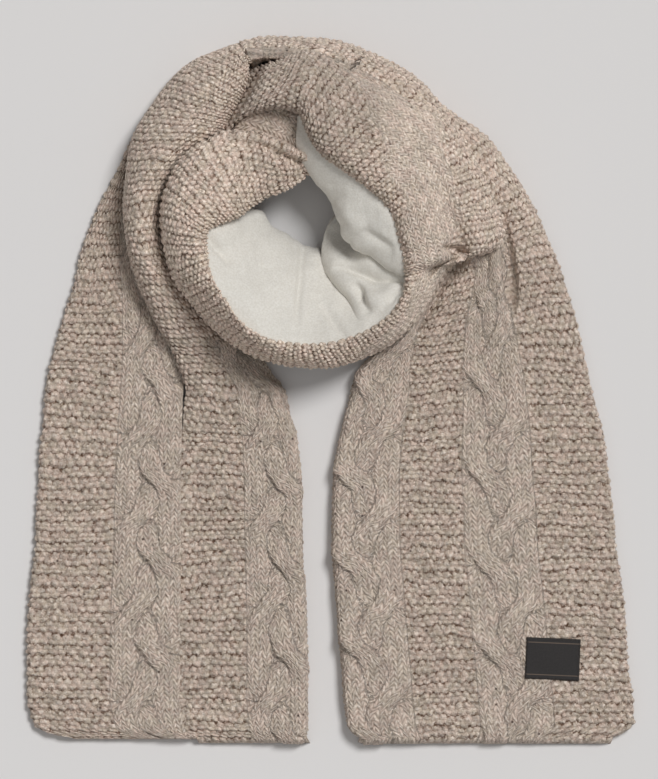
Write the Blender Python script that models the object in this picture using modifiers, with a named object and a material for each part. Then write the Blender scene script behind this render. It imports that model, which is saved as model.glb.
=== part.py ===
"""
A chunky cable-knit scarf with a fleece lining, wound once round a neck hole and laid flat.

The knitted panel is 44 stitches wide: garter 9, plait cable 9, garter 8, plait cable 9, garter 9.
Both ends lie side by side with their inner garter panel turned under.  Above them the panel
rises into a ring of three visible stretches, and the fleece shows in the neck hole.

Every stretch is a loft through a short table, one row for each section across the cloth.
+X is the wearer's left, +Y points from the hems to the back of the neck, +Z is up.
Tables are in millimetres and the finished meshes are in metres.
"""

import math
from collections import namedtuple

import bmesh
import bpy
import numpy as np

# ---------------------------------------------------------------- driving dimensions (mm)

MM = 0.001
ROW_PITCH = 4.0  # one knitted row; a garter ridge takes two
GARTER_RELIEF = 1.5  # ridge top above the valley between two ridges
CABLE_RELIEF = 5.0  # top of a cable strand above the panel
CABLE_REPEAT = 64.0  # one left and one right crossing, 16 rows
CABLE_STRANDS = 3
STRAND_SWING = 0.33  # how far a strand swings to each side, as a share of the panel
STRAND_HALF = 0.19  # half the width of a strand, as a share of the panel
STRAND_DIP = 0.32  # how much lower a strand lies where it passes under, as a share
CABLE_SET = 0.6  # how far the ground of a cable lies below the panel
SELVEDGE_RELIEF = 0.4  # share of the garter relief that is left at the outer edge
PLAIT_START_LEFT = 16.2  # where in its repeat a plait stands at the hem
PLAIT_START_RIGHT = 50.5
KNIT_WALL = 5.0  # knitted face with the backing that it is sewn to
LINING_WALL = 3.0
SINGLE_THICK = 8.0  # one layer of lined cloth on the table
FOLDED_THICK = 15.0  # the same with a garter panel turned under
FOLD_FROM = 0.2  # where the panel that is turned under ends, as a share of the width
FOLD_EASE = 0.3  # share of the width in which the thickness then falls to one layer
FOLD_MARGIN = 7.0  # nearest that the relief comes to the inner edge
SELVEDGE_MARGIN = 6.0  # nearest that it comes to the outer edge
SEAM_GAP = 0.3
LINING_PITCH = 8.0  # between the sections of the thin stretches
GATHER_PITCH = 7.0  # the same where the fleece is gathered
GATHER_WAVE = 3.0  # height of the folds of the gathered fleece
LINING_FOLD_PITCH = 26.0  # from one fold of the gathered fleece to the next
TURN_COLUMNS = 8  # columns across an arched stretch
BACK_COLUMNS = 9
TUCK_COLUMNS = 5
LINING_COLUMNS = 7
PLAN_CENTRE = (0.58, 0.55)  # middle of the tables' plan, which becomes the origin
PINCH_SHARE = 0.55  # where the gather of the ring lies across the cloth
PINCH_WIDE = 0.1
PLEAT_SHARE = 0.655  # where the pleat of the right end lies across the cloth
PLEAT_WIDE = 0.03
LABEL_SIZE = (39.0, 30.0)
LABEL_THICK = 0.9
LABEL_CENTRE = (160.5, -195.5)
LABEL_TILT = math.radians(-2.5)
LABEL_ROWS = 5
LABEL_COLUMNS = 6
LABEL_REACH = 6.0  # how far round each of its points the label clears the knit

# ---------------------------------------------------------------- section tables (mm)

Flat = namedtuple("Flat", "in_x in_y out_x out_y lift rise pleat")
Arch = namedtuple("Arch", "in_x in_y in_z out_x out_y out_z rise pinch")
Sheet = namedtuple("Sheet", "in_x in_y in_z out_x out_y out_z rise")
Roll = namedtuple("Roll", "x y half_wide high")

# Flat-bottomed stretches: the inner edge, the selvedge outside, how far the inner side is
# lifted by what lies beneath, how far the middle arches up, and how deep the pleat is.
TAIL_LEFT = [
    Flat(-17, -252, -191, -252, 0, 0, 0),
    Flat(-15, -247, -208, -247, 0, 0, 0),
    Flat(-15, -234, -216, -234, 0, 0, 0),
    Flat(-15, -204, -218, -204, 0, 0, 0),
    Flat(-15, -175, -218, -175, 0, 0, 0),
    Flat(-16, -146, -216, -146, 0, 0, 0),
    Flat(-18, -117, -213, -117, 0, 0, 0),
    Flat(-19, -89, -212, -89, 0, 0, 0),
    Flat(-20, -60, -210, -60, 0, 0, 0),
    Flat(-23, -34, -207, -31, 0, 0, 0),
    Flat(-28, -14, -205, -7, 0, 0, 0),
]
TAIL_RIGHT = [
    Flat(21, -252, 205, -252, 0, 0, 0),
    Flat(14, -247, 216, -246, 0, 0, 0),
    Flat(10, -233, 219, -233, 0, 0, 0),
    Flat(8, -204, 216, -204, 0, 0, 0),
    Flat(5, -175, 214, -175, 0, 0, 0),
    Flat(3, -146, 211, -146, 0, 0, 0),
    Flat(1, -117, 207, -117, 0, 0, 0),
    Flat(1, -89, 205, -89, 0, 0, 0),
    Flat(2, -60, 201, -60, 0, 0, 0),
    Flat(7, -31, 197, -31, 0, 0, 0),
    Flat(13, -9, 191, -9, 0, 0, 0),
    Flat(19, 11, 186, 14, 0, 0, 0),
    Flat(31, 25, 181, 37, 0, 1, 0),
    Flat(42, 37, 176, 55, 0, 3, 0),
]
LEFT_UNDER = [
    Flat(-106, -10, -205, -6.5, 0, 0, 0),
    Flat(-105, 6, -203, 10, 0, 0, 0),
    Flat(-107, 26, -199, 28, 0, 0, 0),
    Flat(-112, 48, -193, 48, 0, 0, 0),
    Flat(-120, 72, -185, 72, 0, 0, 0),
    Flat(-128, 96, -179, 98, 0, 0, 0),
    Flat(-132, 118, -171, 120, 0, 0, 0),
    Flat(-133, 138, -161, 141, 0, 0, 0),
    Flat(-132, 154, -151, 160, 0, 0, 0),
    Flat(-129, 165, -145, 173, 0, 0, 0),
]
RIGHT_RISE = [
    Flat(42.5, 37.8, 176, 55.6, 0, 3, 2),
    Flat(55, 52, 171, 71, 1, 5, 7),
    Flat(66, 69, 165, 90, 2, 7, 9),
    Flat(74, 87, 157, 109, 3, 11, 7),
    Flat(80, 104, 150, 125, 4, 16, 3),
    Flat(84, 120, 142, 140, 5, 21, 0),
    Flat(84, 137, 131, 158, 6, 25, 0),
    Flat(79, 154, 116, 178, 8, 28, 0),
    Flat(68, 169, 95, 194, 10, 31, 0),
    Flat(55, 179, 82, 204, 10, 33, 0),
    Flat(40, 190, 68, 219, 10, 34, 0),
    Flat(22, 204, 51, 231, 10, 34, 0),
    Flat(6, 214, 31, 241, 10, 34, 0),
    Flat(-9, 221, 13, 248, 10, 34, 0),
    Flat(-20, 226, -5, 252, 10, 34, 0),
    Flat(-33, 229, -25, 253, 10, 34, 0),
    Flat(-44, 230, -46, 252.5, 8, 33, 0),
    Flat(-49.6, 230.2, -65, 249.2, 6, 31, 0),
]

# Arched stretches: the edge towards the neck hole, the edge away from it, how far the
# middle arches above the line between them, and how deep the gather near the middle is.
LEFT_RISE = [
    Arch(-28.5, -13.5, 0, -104.6, -9.6, 0, 14, 0),
    Arch(-30, -3, 0, -104.6, -3, 8, 14, 0),
    Arch(-39, 9, 0, -107, 6, 10.6, 15, 0),
    Arch(-49, 22, 0, -114, 25, 10.6, 18, 0),
    Arch(-64, 36, 0, -122, 39, 10.6, 24, 0),
    Arch(-81, 52, 0, -131, 56, 10.6, 30, 0),
    Arch(-96, 71, 0, -139, 73, 10.6, 34, 0),
    Arch(-108, 90, 0, -144, 90, 10.6, 37, 0),
    Arch(-114, 111, 0, -148, 109, 10.6, 40, 0),
    Arch(-114, 133, 4, -149, 127, 10.6, 42, 0),
    Arch(-107, 150, 12, -148, 145, 10.6, 44, 0),
    Arch(-95, 165, 22, -146, 162, 11, 45, 0),
    Arch(-76.5, 178, 32, -141, 184, 6, 46, 0),
    Arch(-70.8, 190, 36, -129, 204, 0, 44, 0),
    Arch(-65.2, 201, 38, -116, 222, 0, 42, 0),
    Arch(-60, 211, 38, -100, 235, 0, 40, 0),
    Arch(-54.8, 221, 37, -82, 243, 0, 35, 0),
    Arch(-50.6, 228.9, 34, -66, 248, 0, 30, 0),
]
NECK_FRONT = [
    Arch(54.6, 78.6, 66, 92, 89.4, 21, 17, 12),
    Arch(54.4, 74, 67, 84, 80, 18.4, 18, 5),
    Arch(53.6, 68, 68, 77, 70, 16.6, 19, 0),
    Arch(49, 59.5, 70, 70, 58, 17, 20, 0),
    Arch(41.5, 50.5, 71, 58, 41, 20.4, 22, 0),
    Arch(29.5, 41.5, 72, 42, 29, 27, 21, 0),
    Arch(13, 34.5, 72, 22, 20, 38, 17, 0),
    Arch(-6.5, 30.5, 72, 2, 14, 46, 14, 0),
    Arch(-25, 30.5, 72, -24, 14, 47, 14, 0),
    Arch(-43.5, 35, 72, -50, 20, 41, 17, 0),
    Arch(-59.5, 45, 72, -71, 31, 30, 20, 0),
    Arch(-71, 60, 71, -87, 44, 29.2, 21, 0),
    Arch(-79, 73, 70, -99, 58, 32.4, 20, 0),
    Arch(-85, 86, 69, -111, 75, 36.6, 20, 0),
    Arch(-87, 97, 68, -118, 94, 40.4, 20, 0),
    Arch(-87.5, 105, 67, -121, 114, 44.2, 22, 0),
    Arch(-85.5, 112, 66, -120, 135, 49.6, 22, 0),
    Arch(-75, 117, 62, -112, 156, 58.4, 21, 0),
    Arch(-63, 121.5, 57, -97, 171, 65, 19, 0),
    Arch(-54, 128.5, 52, -77, 180, 66, 16, 0),
    Arch(-43, 134.5, 48, -57, 180, 65, 13, 0),
    Arch(-32, 138.5, 46, -43, 176, 64, 10, 0),
    Arch(-22.5, 145, 46, -28, 169, 61, 6, 0),
    Arch(-14, 152, 46, -17, 166, 58, 3, 0),
]
NECK_BACK = [
    Arch(-72, 183.2, 58, -48.8, 229.4, 40, 8, 0),
    Arch(-67, 188, 62, -44, 232, 44.5, 17, 0),
    Arch(-58, 193, 66, -38, 233, 46, 24, 0),
    Arch(-47, 196, 68, -27, 237, 47, 27, 0),
    Arch(-34, 197, 69, -16, 241, 46, 27, 0),
    Arch(-23, 195, 69, -3, 236, 45.5, 27, 0),
    Arch(-18, 182.5, 68, 13, 227, 45.5, 27, 0),
    Arch(-11.5, 171, 68, 30, 217, 46, 27, 0),
    Arch(0, 160, 68, 51, 208, 46, 27, 0),
    Arch(14, 150, 67, 71, 201, 44.5, 27, 0),
    Arch(27, 141, 67, 86, 193, 42, 27, 1),
    Arch(37.5, 131, 66, 98, 177, 40.5, 26, 3),
    Arch(44, 119, 66, 108, 158, 38, 26, 6),
    Arch(48.5, 107, 66, 116, 140, 35, 26, 9),
    Arch(51.3, 97, 66, 122, 124, 31, 25, 11),
    Arch(53, 90, 66, 125.5, 109, 26, 24, 13),
    Arch(53.8, 85, 66, 121, 99, 22.8, 22, 14),
    Arch(54, 81.4, 66, 107, 94, 22, 19, 14),
    Arch(54.6, 79.2, 66, 92.6, 90.1, 21.4, 17, 12),
]

# Thin stretches: one long edge, the other, and how far the middle bellies up.
NECK_TUCK = [
    Sheet(-76, 176, 54.6, -72, 181.5, 55.8, 1),
    Sheet(-68, 173, 57, -62, 196, 61, 2),
    Sheet(-57, 171, 57.6, -52, 204, 61.4, 2),
    Sheet(-46, 167, 57, -41, 206, 62, 2),
    Sheet(-35, 162, 54, -30, 206, 61, 2),
    Sheet(-25, 158, 51.9, -20, 196, 58, 2),
]
LINING_FRONT = [
    Sheet(-90, 121, 65.1, -79, 126, 46, 0),
    Sheet(-92, 107, 66.6, -59, 125, 30, 6),
    Sheet(-93, 94, 67.6, -43, 120, 18, 10),
    Sheet(-90, 81, 68.6, -31, 115, 11, 12),
    Sheet(-83, 67, 70.1, -21, 110, 7, 12),
    Sheet(-74.5, 56.5, 70.5, -15, 103, 5, 12),
    Sheet(-62.5, 41.5, 71.6, -12, 93, 5, 12),
    Sheet(-45.3, 31, 71.6, -8, 79, 6, 11),
    Sheet(-25, 26, 71.6, -3, 66, 9, 9),
    Sheet(-5, 26.3, 71.6, 6, 56, 16, 7),
]
LINING_FOLDS = [
    Sheet(-1.5, 27, 71, -10, 84, 16, 6),
    Sheet(15, 31, 71, -7, 94, 13, 9),
    Sheet(32.5, 38.5, 71, -3, 102, 11, 12),
    Sheet(46, 49, 69.5, 1, 109, 10, 13),
    Sheet(55, 63, 68, 6, 115, 10, 13),
    Sheet(58, 74, 66, 12, 119, 11, 12),
    Sheet(58.6, 84, 64.5, 20, 122, 13, 10),
]
LINING_BACK = [
    Sheet(-18, 193, 67, -23, 192, 64, 0),
    Sheet(-12.5, 184, 67, -23, 180, 62, 1),
    Sheet(-6.5, 172.5, 67, -18, 167, 58, 2),
    Sheet(4.5, 162.5, 66.4, -10, 154, 53, 4),
    Sheet(18, 153, 65, -2, 142, 49, 6),
    Sheet(31, 144.5, 65, 5, 133, 46, 7),
    Sheet(41.5, 134.5, 63.8, 11, 125, 45, 8),
    Sheet(47.5, 123, 63.8, 15, 119, 46, 8),
    Sheet(50.5, 111, 63.8, 24, 114.5, 50, 5),
    Sheet(52, 103, 64, 38, 106.5, 57, 2),
]
# The layers that the ring hides are one roll that lies on the table round the neck hole:
# the middle of its path, half its width, and its height.
HIDDEN_FOLDS = [
    Roll(20, 42, 6.8, 34),
    Roll(0, 38.6, 8.2, 41),
    Roll(-22, 38, 8.2, 43),
    Roll(-42, 44, 8, 42),
    Roll(-62, 52, 9, 42),
    Roll(-80, 72, 9, 44),
    Roll(-92, 96, 10, 48),
    Roll(-95, 120, 11, 48),
    Roll(-87, 144, 12, 46),
    Roll(-70, 163, 12, 44),
    Roll(-54, 181, 12, 44),
    Roll(-40, 202, 12, 44),
    Roll(-18, 206, 12, 44),
    Roll(9, 190, 13, 48),
    Roll(33, 165, 14, 50),
    Roll(52, 138, 14, 50),
    Roll(62, 114, 12, 48),
    Roll(64, 92, 8, 40),
]
# The section of the roll: share of its half width, and share of its height.  The notches
# in its sides are the edges of the layers.
ROLL_SECTION = [
    (0.80, 0.00),
    (1.00, 0.12),
    (0.90, 0.33),
    (1.00, 0.46),
    (0.86, 0.68),
    (0.70, 0.88),
    (0.00, 1.00),
    (-0.70, 0.88),
    (-0.86, 0.68),
    (-1.00, 0.46),
    (-0.90, 0.33),
    (-1.00, 0.12),
    (-0.80, 0.00),
]
ROLL_PITCH = 20.0

# Colours are linear red, green and blue.
OATMEAL = (0.42, 0.34, 0.28)
FLEECE = (0.72, 0.70, 0.62)
LABEL_BLACK = (0.02, 0.02, 0.02)

# Columns across a flat stretch: distance in from the edge, and share of the thickness.
FOLD_EDGE = [(0.2, 0.25), (2.4, 0.5), (0.2, 0.74), (4.0, 0.97)]
SELVEDGE = [(4.0, 0.97), (0.0, 0.45)]
HEM = [(0.0, 0.45), (1.8, 0.86)]
FOOT = 1.2  # how far the foot of every edge is set in


# ---------------------------------------------------------------- shared mathematics


def through_rows(table, pitch):
    """Read a table about every pitch along its middle: cubic Hermite spans with the slopes of
    the neighbouring rows, each column as a function of the distance run by the mid points.
    The number of rows is odd, so that every second row includes both ends."""
    rows = np.array(table, float)
    outer = {Flat: 2, Arch: 3, Sheet: 3, Roll: 0}[type(table[0])]
    middle = (rows[:, 0:2] + rows[:, outer : outer + 2]) / 2
    run = np.concatenate([[0], np.cumsum(np.linalg.norm(np.diff(middle, axis=0), axis=1))])
    slope = np.gradient(rows, run, axis=0)
    count = 2 * max(1, int(round(run[-1] / pitch / 2)))
    at = np.linspace(0, run[-1], count + 1)
    span = np.clip(np.searchsorted(run, at, side="right") - 1, 0, len(run) - 2)
    width = run[span + 1] - run[span]
    t = ((at - run[span]) / width)[:, None]
    width = width[:, None]
    start = (2 * t**3 - 3 * t**2 + 1) * rows[span] + (t**3 - 2 * t**2 + t) * width * slope[span]
    end = (3 * t**2 - 2 * t**3) * rows[span + 1] + (t**3 - t**2) * width * slope[span + 1]
    return start + end, at


def plait(across, along, turn):
    """Height 0..1 of a three-strand plait: each strand swings across the panel as a sine
    and lifts at twice that rate, and the highest strand shows."""
    height = np.zeros(np.broadcast(across, along).shape)
    for strand in range(CABLE_STRANDS):
        phase = 2 * np.pi * (turn * along / (CABLE_REPEAT * CABLE_STRANDS) + strand / CABLE_STRANDS)
        centre = 0.5 + STRAND_SWING * np.sin(phase)
        dome = np.clip(1 - ((across - centre) / STRAND_HALF) ** 2, 0, None)
        height = np.maximum(height, dome * (1 - STRAND_DIP + STRAND_DIP * np.sin(2 * phase)))
    return height


def normals_of(grid):
    """Unit normals of a grid of points, from the cross product of its two directions."""
    along = np.gradient(grid, axis=0)
    across = np.gradient(grid, axis=1)
    normal = np.cross(along, across)
    normal /= np.linalg.norm(normal, axis=2, keepdims=True)
    return normal * np.sign(normal[..., 2].mean())


# ---------------------------------------------------------------- mesh helpers


class Body:
    """Points and faces of one closed solid, in millimetres."""

    def __init__(self):
        self.points = []
        self.faces = []
        self.top = None

    def add(self, points):
        """Add points of any grid shape and return their numbers in that shape."""
        points = np.asarray(points, float)
        first = len(self.points)
        self.points.extend(points.reshape(-1, 3).tolist())
        return np.arange(first, len(self.points)).reshape(points.shape[:-1])

    def grid(self, ids):
        """Four-sided faces between neighbouring rows and columns."""
        for row in range(ids.shape[0] - 1):
            for col in range(ids.shape[1] - 1):
                corner = (ids[row, col], ids[row, col + 1], ids[row + 1, col + 1], ids[row + 1, col])
                self.faces.append(corner)

    def bridge(self, one, two):
        """Triangles between two lines of points that may differ in number."""
        a, b = 0, 0
        while a < len(one) - 1 or b < len(two) - 1:
            next_a = (a + 1) / max(1, len(one) - 1)
            next_b = (b + 1) / max(1, len(two) - 1)
            if b == len(two) - 1 or (a < len(one) - 1 and next_a <= next_b):
                self.faces.append((one[a], one[a + 1], two[b]))
                a += 1
            else:
                self.faces.append((one[a], two[b + 1], two[b]))
                b += 1

    def rim(self, outside, inside):
        """Close the four sides between an outer grid and a coarser inner grid."""
        self.bridge(outside[0], inside[0])
        self.bridge(outside[-1], inside[-1])
        self.bridge(outside[:, 0], inside[:, 0])
        self.bridge(outside[:, -1], inside[:, -1])


def make_object(name, points, faces, material, collection):
    """A smooth-shaded object from points in millimetres, with its faces turned outwards, or
    upwards where it is an open surface."""
    shift = np.array((PLAN_CENTRE[0], PLAN_CENTRE[1], 0.0))
    mesh = bpy.data.meshes.new(name)
    places = (np.array(points) - shift) * MM
    mesh.from_pydata(places.tolist(), [], [tuple(map(int, face)) for face in faces])
    work = bmesh.new()
    work.from_mesh(mesh)
    bmesh.ops.recalc_face_normals(work, faces=work.faces)
    bmesh.ops.triangulate(work, faces=work.faces)
    if sum(face.normal.z for face in work.faces) < 0 and any(edge.is_boundary for edge in work.edges):
        bmesh.ops.reverse_faces(work, faces=work.faces)
    work.to_mesh(mesh)
    work.free()
    mesh.shade_smooth()
    mesh.materials.append(material)
    piece = bpy.data.objects.new(name, mesh)
    collection.objects.link(piece)
    return piece


def solid_object(name, body, material, collection):
    """A closed solid."""
    return make_object(name, body.points, body.faces, material, collection)


def shell_object(name, surface, wall, side, material, collection):
    """An open surface given a wall with Solidify, below it (side -1) or above it (side 1)."""
    body = Body()
    body.grid(body.add(surface))
    piece = make_object(name, body.points, body.faces, material, collection)
    solidify = piece.modifiers.new("wall", "SOLIDIFY")
    solidify.thickness = wall * MM
    solidify.offset = side
    return piece


def make_material(name, colour, roughness):
    """A plain Principled material."""
    material = bpy.data.materials.new(name)
    material.use_nodes = True
    shader = material.node_tree.nodes["Principled BSDF"]
    shader.inputs["Base Color"].default_value = (*colour, 1)
    shader.inputs["Roughness"].default_value = roughness
    shader.inputs["Metallic"].default_value = 0
    return material


# ---------------------------------------------------------------- flat-bottomed stretches

CABLE_COLUMNS = [0.0, 0.18, 0.34, 0.5, 0.66, 0.82, 1.0]
GARTER_COLUMNS = [0.12, 0.88]
PANELS = [("cable", 0.0, 0.24), ("garter", 0.24, 0.47), ("cable", 0.47, 0.72), ("garter", 0.72, 1.0)]
OUTER_PANELS = [("cable", 0.0, 0.47), ("garter", 0.47, 1.0)]
RISE_PANELS = [("garter", 0.0, 0.6), ("pleat", 0.6, 0.71), ("garter", 0.71, 1.0)]
PLEAT_COLUMNS = [0.2, 0.5, 0.8]
COLUMNS_OF = {"cable": CABLE_COLUMNS, "garter": GARTER_COLUMNS, "pleat": PLEAT_COLUMNS}


def panel_columns(panels):
    """Shares across the cloth, with the kind of knit and the place within its panel."""
    columns = []
    for kind, start, end in panels:
        steps = COLUMNS_OF[kind]
        for step in steps:
            columns.append((start + (end - start) * step, kind, step))
    return columns


def thickness(share, folded):
    """Folded cloth is twice as thick for the width of the panel that is turned under it."""
    if not folded:
        return np.full_like(share, SINGLE_THICK)
    ease = np.clip((share - FOLD_FROM) / FOLD_EASE, 0, 1)
    ease = ease * ease * (3 - 2 * ease)
    return FOLDED_THICK + (SINGLE_THICK - FOLDED_THICK) * ease


def flat_stretch(table, panels, folded, hem, turn, phase):
    """A stretch that lies on the table: relief on top, a layered edge at the fold, flat below."""
    rows, run = through_rows(table, ROW_PITCH)
    inner = rows[:, 0:2]
    outer = rows[:, 2:4]
    lift = rows[:, 4]
    rise = rows[:, 5]
    pleat = rows[:, 6]
    width = np.linalg.norm(outer - inner, axis=1)
    sideways = (outer - inner) / width[:, None]
    ridge = np.where(np.arange(len(rows)) % 2 == 0, 0.5, -0.5) * GARTER_RELIEF

    shares, heights, reliefs = [], [], []
    fold = FOLD_EDGE if folded else SELVEDGE[::-1]
    for inset, part in fold:
        share = inset / width
        shares.append(share)
        heights.append(part * thickness(share, folded))
        reliefs.append(np.zeros_like(share))
    for share, kind, place in panel_columns(panels):
        share = np.clip(np.full(len(rows), share), FOLD_MARGIN / width, 1 - SELVEDGE_MARGIN / width)
        if shares and np.any(share <= shares[-1]):
            continue
        shares.append(share)
        heights.append(thickness(share, folded))
        if kind == "cable":
            reliefs.append(CABLE_RELIEF * plait(place, run + phase, turn) - CABLE_SET)
        else:
            reliefs.append(ridge)
    for inset, part in SELVEDGE:
        share = 1 - inset / width
        shares.append(share)
        heights.append(part * thickness(share, folded))
        reliefs.append(ridge * SELVEDGE_RELIEF)
    share = np.array(shares).T
    height = np.array(heights).T + np.array(reliefs).T
    arch = np.sqrt(np.clip(4 * share * (1 - share), 0, 1))
    height = height + lift[:, None] * (1 - share) ** 2 + rise[:, None] * arch
    height = height - pleat[:, None] * np.exp(-(((share - PLEAT_SHARE) / PLEAT_WIDE) ** 2))

    top = np.empty(share.shape + (3,))
    top[..., 0:2] = inner[:, None, :] + (share * width[:, None])[..., None] * sideways[:, None, :]
    top[..., 2] = height

    foot_share = np.stack([FOOT / width, 1 - FOOT / width], axis=1)
    foot = np.zeros((len(rows), 2, 3))
    foot[..., 0:2] = inner[:, None, :] + (foot_share * width[:, None])[..., None] * sideways[:, None, :]
    if hem:
        ahead = inner[1] + outer[1] - inner[0] - outer[0]
        ahead = ahead / np.linalg.norm(ahead)
        rolled = np.repeat(top[:1], len(HEM), axis=0)
        feet = np.repeat(foot[:1], len(HEM), axis=0)
        for line, (inset, part) in enumerate(HEM):
            rolled[line, :, 0:2] += ahead * inset
            rolled[line, :, 2] *= part
            feet[line, :, 0:2] += ahead * max(inset, FOOT)
        top = np.concatenate([rolled, top[1:]], axis=0)
        foot = np.concatenate([feet, foot[1:]], axis=0)

    body = Body()
    body.top = top
    upper = body.add(top)
    lower = body.add(foot)
    body.grid(upper)
    body.grid(lower)
    body.bridge(upper[:, 0], lower[:, 0])
    body.bridge(upper[:, -1], lower[:, -1])
    body.bridge(upper[0], lower[0])
    body.bridge(upper[-1], lower[-1])
    return body


# ---------------------------------------------------------------- arched stretches


def arch_grid(rows, columns, inset):
    """Half an ellipse across each section, set on the line between the section's edges."""
    turn = np.linspace(0, math.pi, columns)[None, :]
    inner = rows[:, None, 0:3]
    outer = rows[:, None, 3:6]
    rise = rows[:, 6][:, None]
    pinch = rows[:, 7][:, None]
    flat = rows[:, 3:5] - rows[:, 0:2]
    width = np.linalg.norm(flat, axis=1)
    inset = np.minimum(inset, 0.3 * width)[:, None]
    share = 0.5 - (0.5 - inset / width[:, None]) * np.cos(turn)
    grid = inner + (outer - inner) * share[..., None]
    level = 0.5 - 0.5 * np.cos(turn)
    base = inner[..., 2] + (outer[..., 2] - inner[..., 2]) * level
    dip = pinch * np.exp(-(((share - PINCH_SHARE) / PINCH_WIDE) ** 2))
    grid[..., 2] = base + (rise - inset) * np.sin(turn) - dip
    return grid


def arched_stretch(table, columns):
    """A wall that arches over the layers beneath it: ridges outside, plain inside."""
    rows, _ = through_rows(table, ROW_PITCH)
    outside = arch_grid(rows, columns, 0.0)
    ridge = np.where(np.arange(len(rows)) % 2 == 0, 0.5, -0.5) * GARTER_RELIEF
    ridge[0] = ridge[-1] = 0
    outside = outside + normals_of(outside) * ridge[:, None, None]
    outside[:, 0, 2] = rows[:, 2]
    outside[:, -1, 2] = rows[:, 5]
    inside = arch_grid(rows[::2], columns // 2 + 1, KNIT_WALL)
    outside[..., 2] = np.maximum(outside[..., 2], 0)
    inside[..., 2] = np.maximum(inside[..., 2], 0)
    body = Body()
    outer_ids = body.add(outside)
    inner_ids = body.add(inside)
    body.grid(outer_ids)
    body.grid(inner_ids)
    body.rim(outer_ids, inner_ids)
    return body


def thin_stretch(table, columns, pitch, wave):
    """A surface between two edges with a soft belly, and shallow folds that run across it."""
    rows, run = through_rows(table, pitch)
    share = np.linspace(0, 1, columns)[None, :]
    inner = rows[:, None, 0:3]
    outer = rows[:, None, 3:6]
    surface = inner + (outer - inner) * share[..., None]
    belly = 4 * share * (1 - share)
    surface[..., 2] += rows[:, 6][:, None] * belly
    surface[..., 2] += wave * np.sin(2 * math.pi * run / LINING_FOLD_PITCH)[:, None] * belly
    return surface


def hidden_roll():
    """A rounded roll with notched sides that lies flat on the table."""
    rows, _ = through_rows(HIDDEN_FOLDS, ROLL_PITCH)
    ahead = np.gradient(rows[:, 0:2], axis=0)
    ahead /= np.linalg.norm(ahead, axis=1, keepdims=True)
    beside = np.stack([ahead[:, 1], -ahead[:, 0]], axis=1)
    across, up = np.array(ROLL_SECTION).T
    half_wide = rows[:, 2]
    grid = np.empty((len(rows), len(ROLL_SECTION), 3))
    grid[..., 0:2] = rows[:, None, 0:2] + (half_wide[:, None] * across)[..., None] * beside[:, None, :]
    grid[..., 2] = rows[:, 3][:, None] * up
    body = Body()
    ids = body.add(grid)
    body.grid(np.concatenate([ids, ids[:, :1]], axis=1))
    body.faces.append(tuple(ids[0]))
    body.faces.append(tuple(ids[-1]))
    return body


def highest_near(top, x, y, reach):
    """The highest place of a stretch's top rows within reach of a place."""
    heights = []
    for line in top:
        if abs(line[:, 1].mean() - y) < reach:
            heights.append(np.interp(np.linspace(x - reach, x + reach, 5), line[:, 0], line[:, 2]))
    return np.max(heights)


def sewn_label(tail):
    """The underside of a woven patch: the points of the tail under it, moved out a seam."""
    cos, sin = math.cos(LABEL_TILT), math.sin(LABEL_TILT)
    grid = np.empty((LABEL_ROWS, LABEL_COLUMNS, 3))
    for row, v in enumerate(np.linspace(-0.5, 0.5, LABEL_ROWS)):
        for column, u in enumerate(np.linspace(-0.5, 0.5, LABEL_COLUMNS)):
            x = LABEL_CENTRE[0] + u * LABEL_SIZE[0] * cos - v * LABEL_SIZE[1] * sin
            y = LABEL_CENTRE[1] + u * LABEL_SIZE[0] * sin + v * LABEL_SIZE[1] * cos
            grid[row, column] = (x, y, highest_near(tail.top, x, y, LABEL_REACH) + SEAM_GAP)
    return grid


# ---------------------------------------------------------------- the scarf


def main():
    for old in list(bpy.data.objects):
        bpy.data.objects.remove(old)
    scarf = bpy.data.collections.new("knit_scarf")
    bpy.context.scene.collection.children.link(scarf)
    knit = make_material("knit_oatmeal", OATMEAL, 0.9)
    fleece = make_material("fleece_cream", FLEECE, 0.95)
    woven = make_material("label_black", LABEL_BLACK, 0.6)

    right = flat_stretch(TAIL_RIGHT, PANELS, True, True, 1, PLAIT_START_RIGHT)
    solids = {
        "tail_left": flat_stretch(TAIL_LEFT, PANELS, True, True, -1, PLAIT_START_LEFT),
        "tail_right": right,
        "left_under": flat_stretch(LEFT_UNDER, OUTER_PANELS, False, False, -1, 0.0),
        "right_rise": flat_stretch(RIGHT_RISE, RISE_PANELS, False, False, 1, 0.0),
        "left_rise": arched_stretch(LEFT_RISE, TURN_COLUMNS),
        "neck_front": arched_stretch(NECK_FRONT, TURN_COLUMNS),
        "neck_back": arched_stretch(NECK_BACK, BACK_COLUMNS),
        "hidden_folds": hidden_roll(),
    }
    for name, body in solids.items():
        solid_object(name, body, knit, scarf)
    tuck = thin_stretch(NECK_TUCK, TUCK_COLUMNS, LINING_PITCH, 0.0)
    front = thin_stretch(LINING_FRONT, LINING_COLUMNS, LINING_PITCH, 0.0)
    folds = thin_stretch(LINING_FOLDS, LINING_COLUMNS, GATHER_PITCH, GATHER_WAVE)
    back = thin_stretch(LINING_BACK, LINING_COLUMNS, LINING_PITCH, 0.0)
    shell_object("neck_tuck", tuck, KNIT_WALL, -1, knit, scarf)
    shell_object("lining_front", front, LINING_WALL, -1, fleece, scarf)
    shell_object("lining_folds", folds, LINING_WALL, -1, fleece, scarf)
    shell_object("lining_back", back, LINING_WALL, -1, fleece, scarf)
    shell_object("label", sewn_label(right), LABEL_THICK, 1, woven, scarf)


main()
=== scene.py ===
import math
from collections import namedtuple

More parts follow.
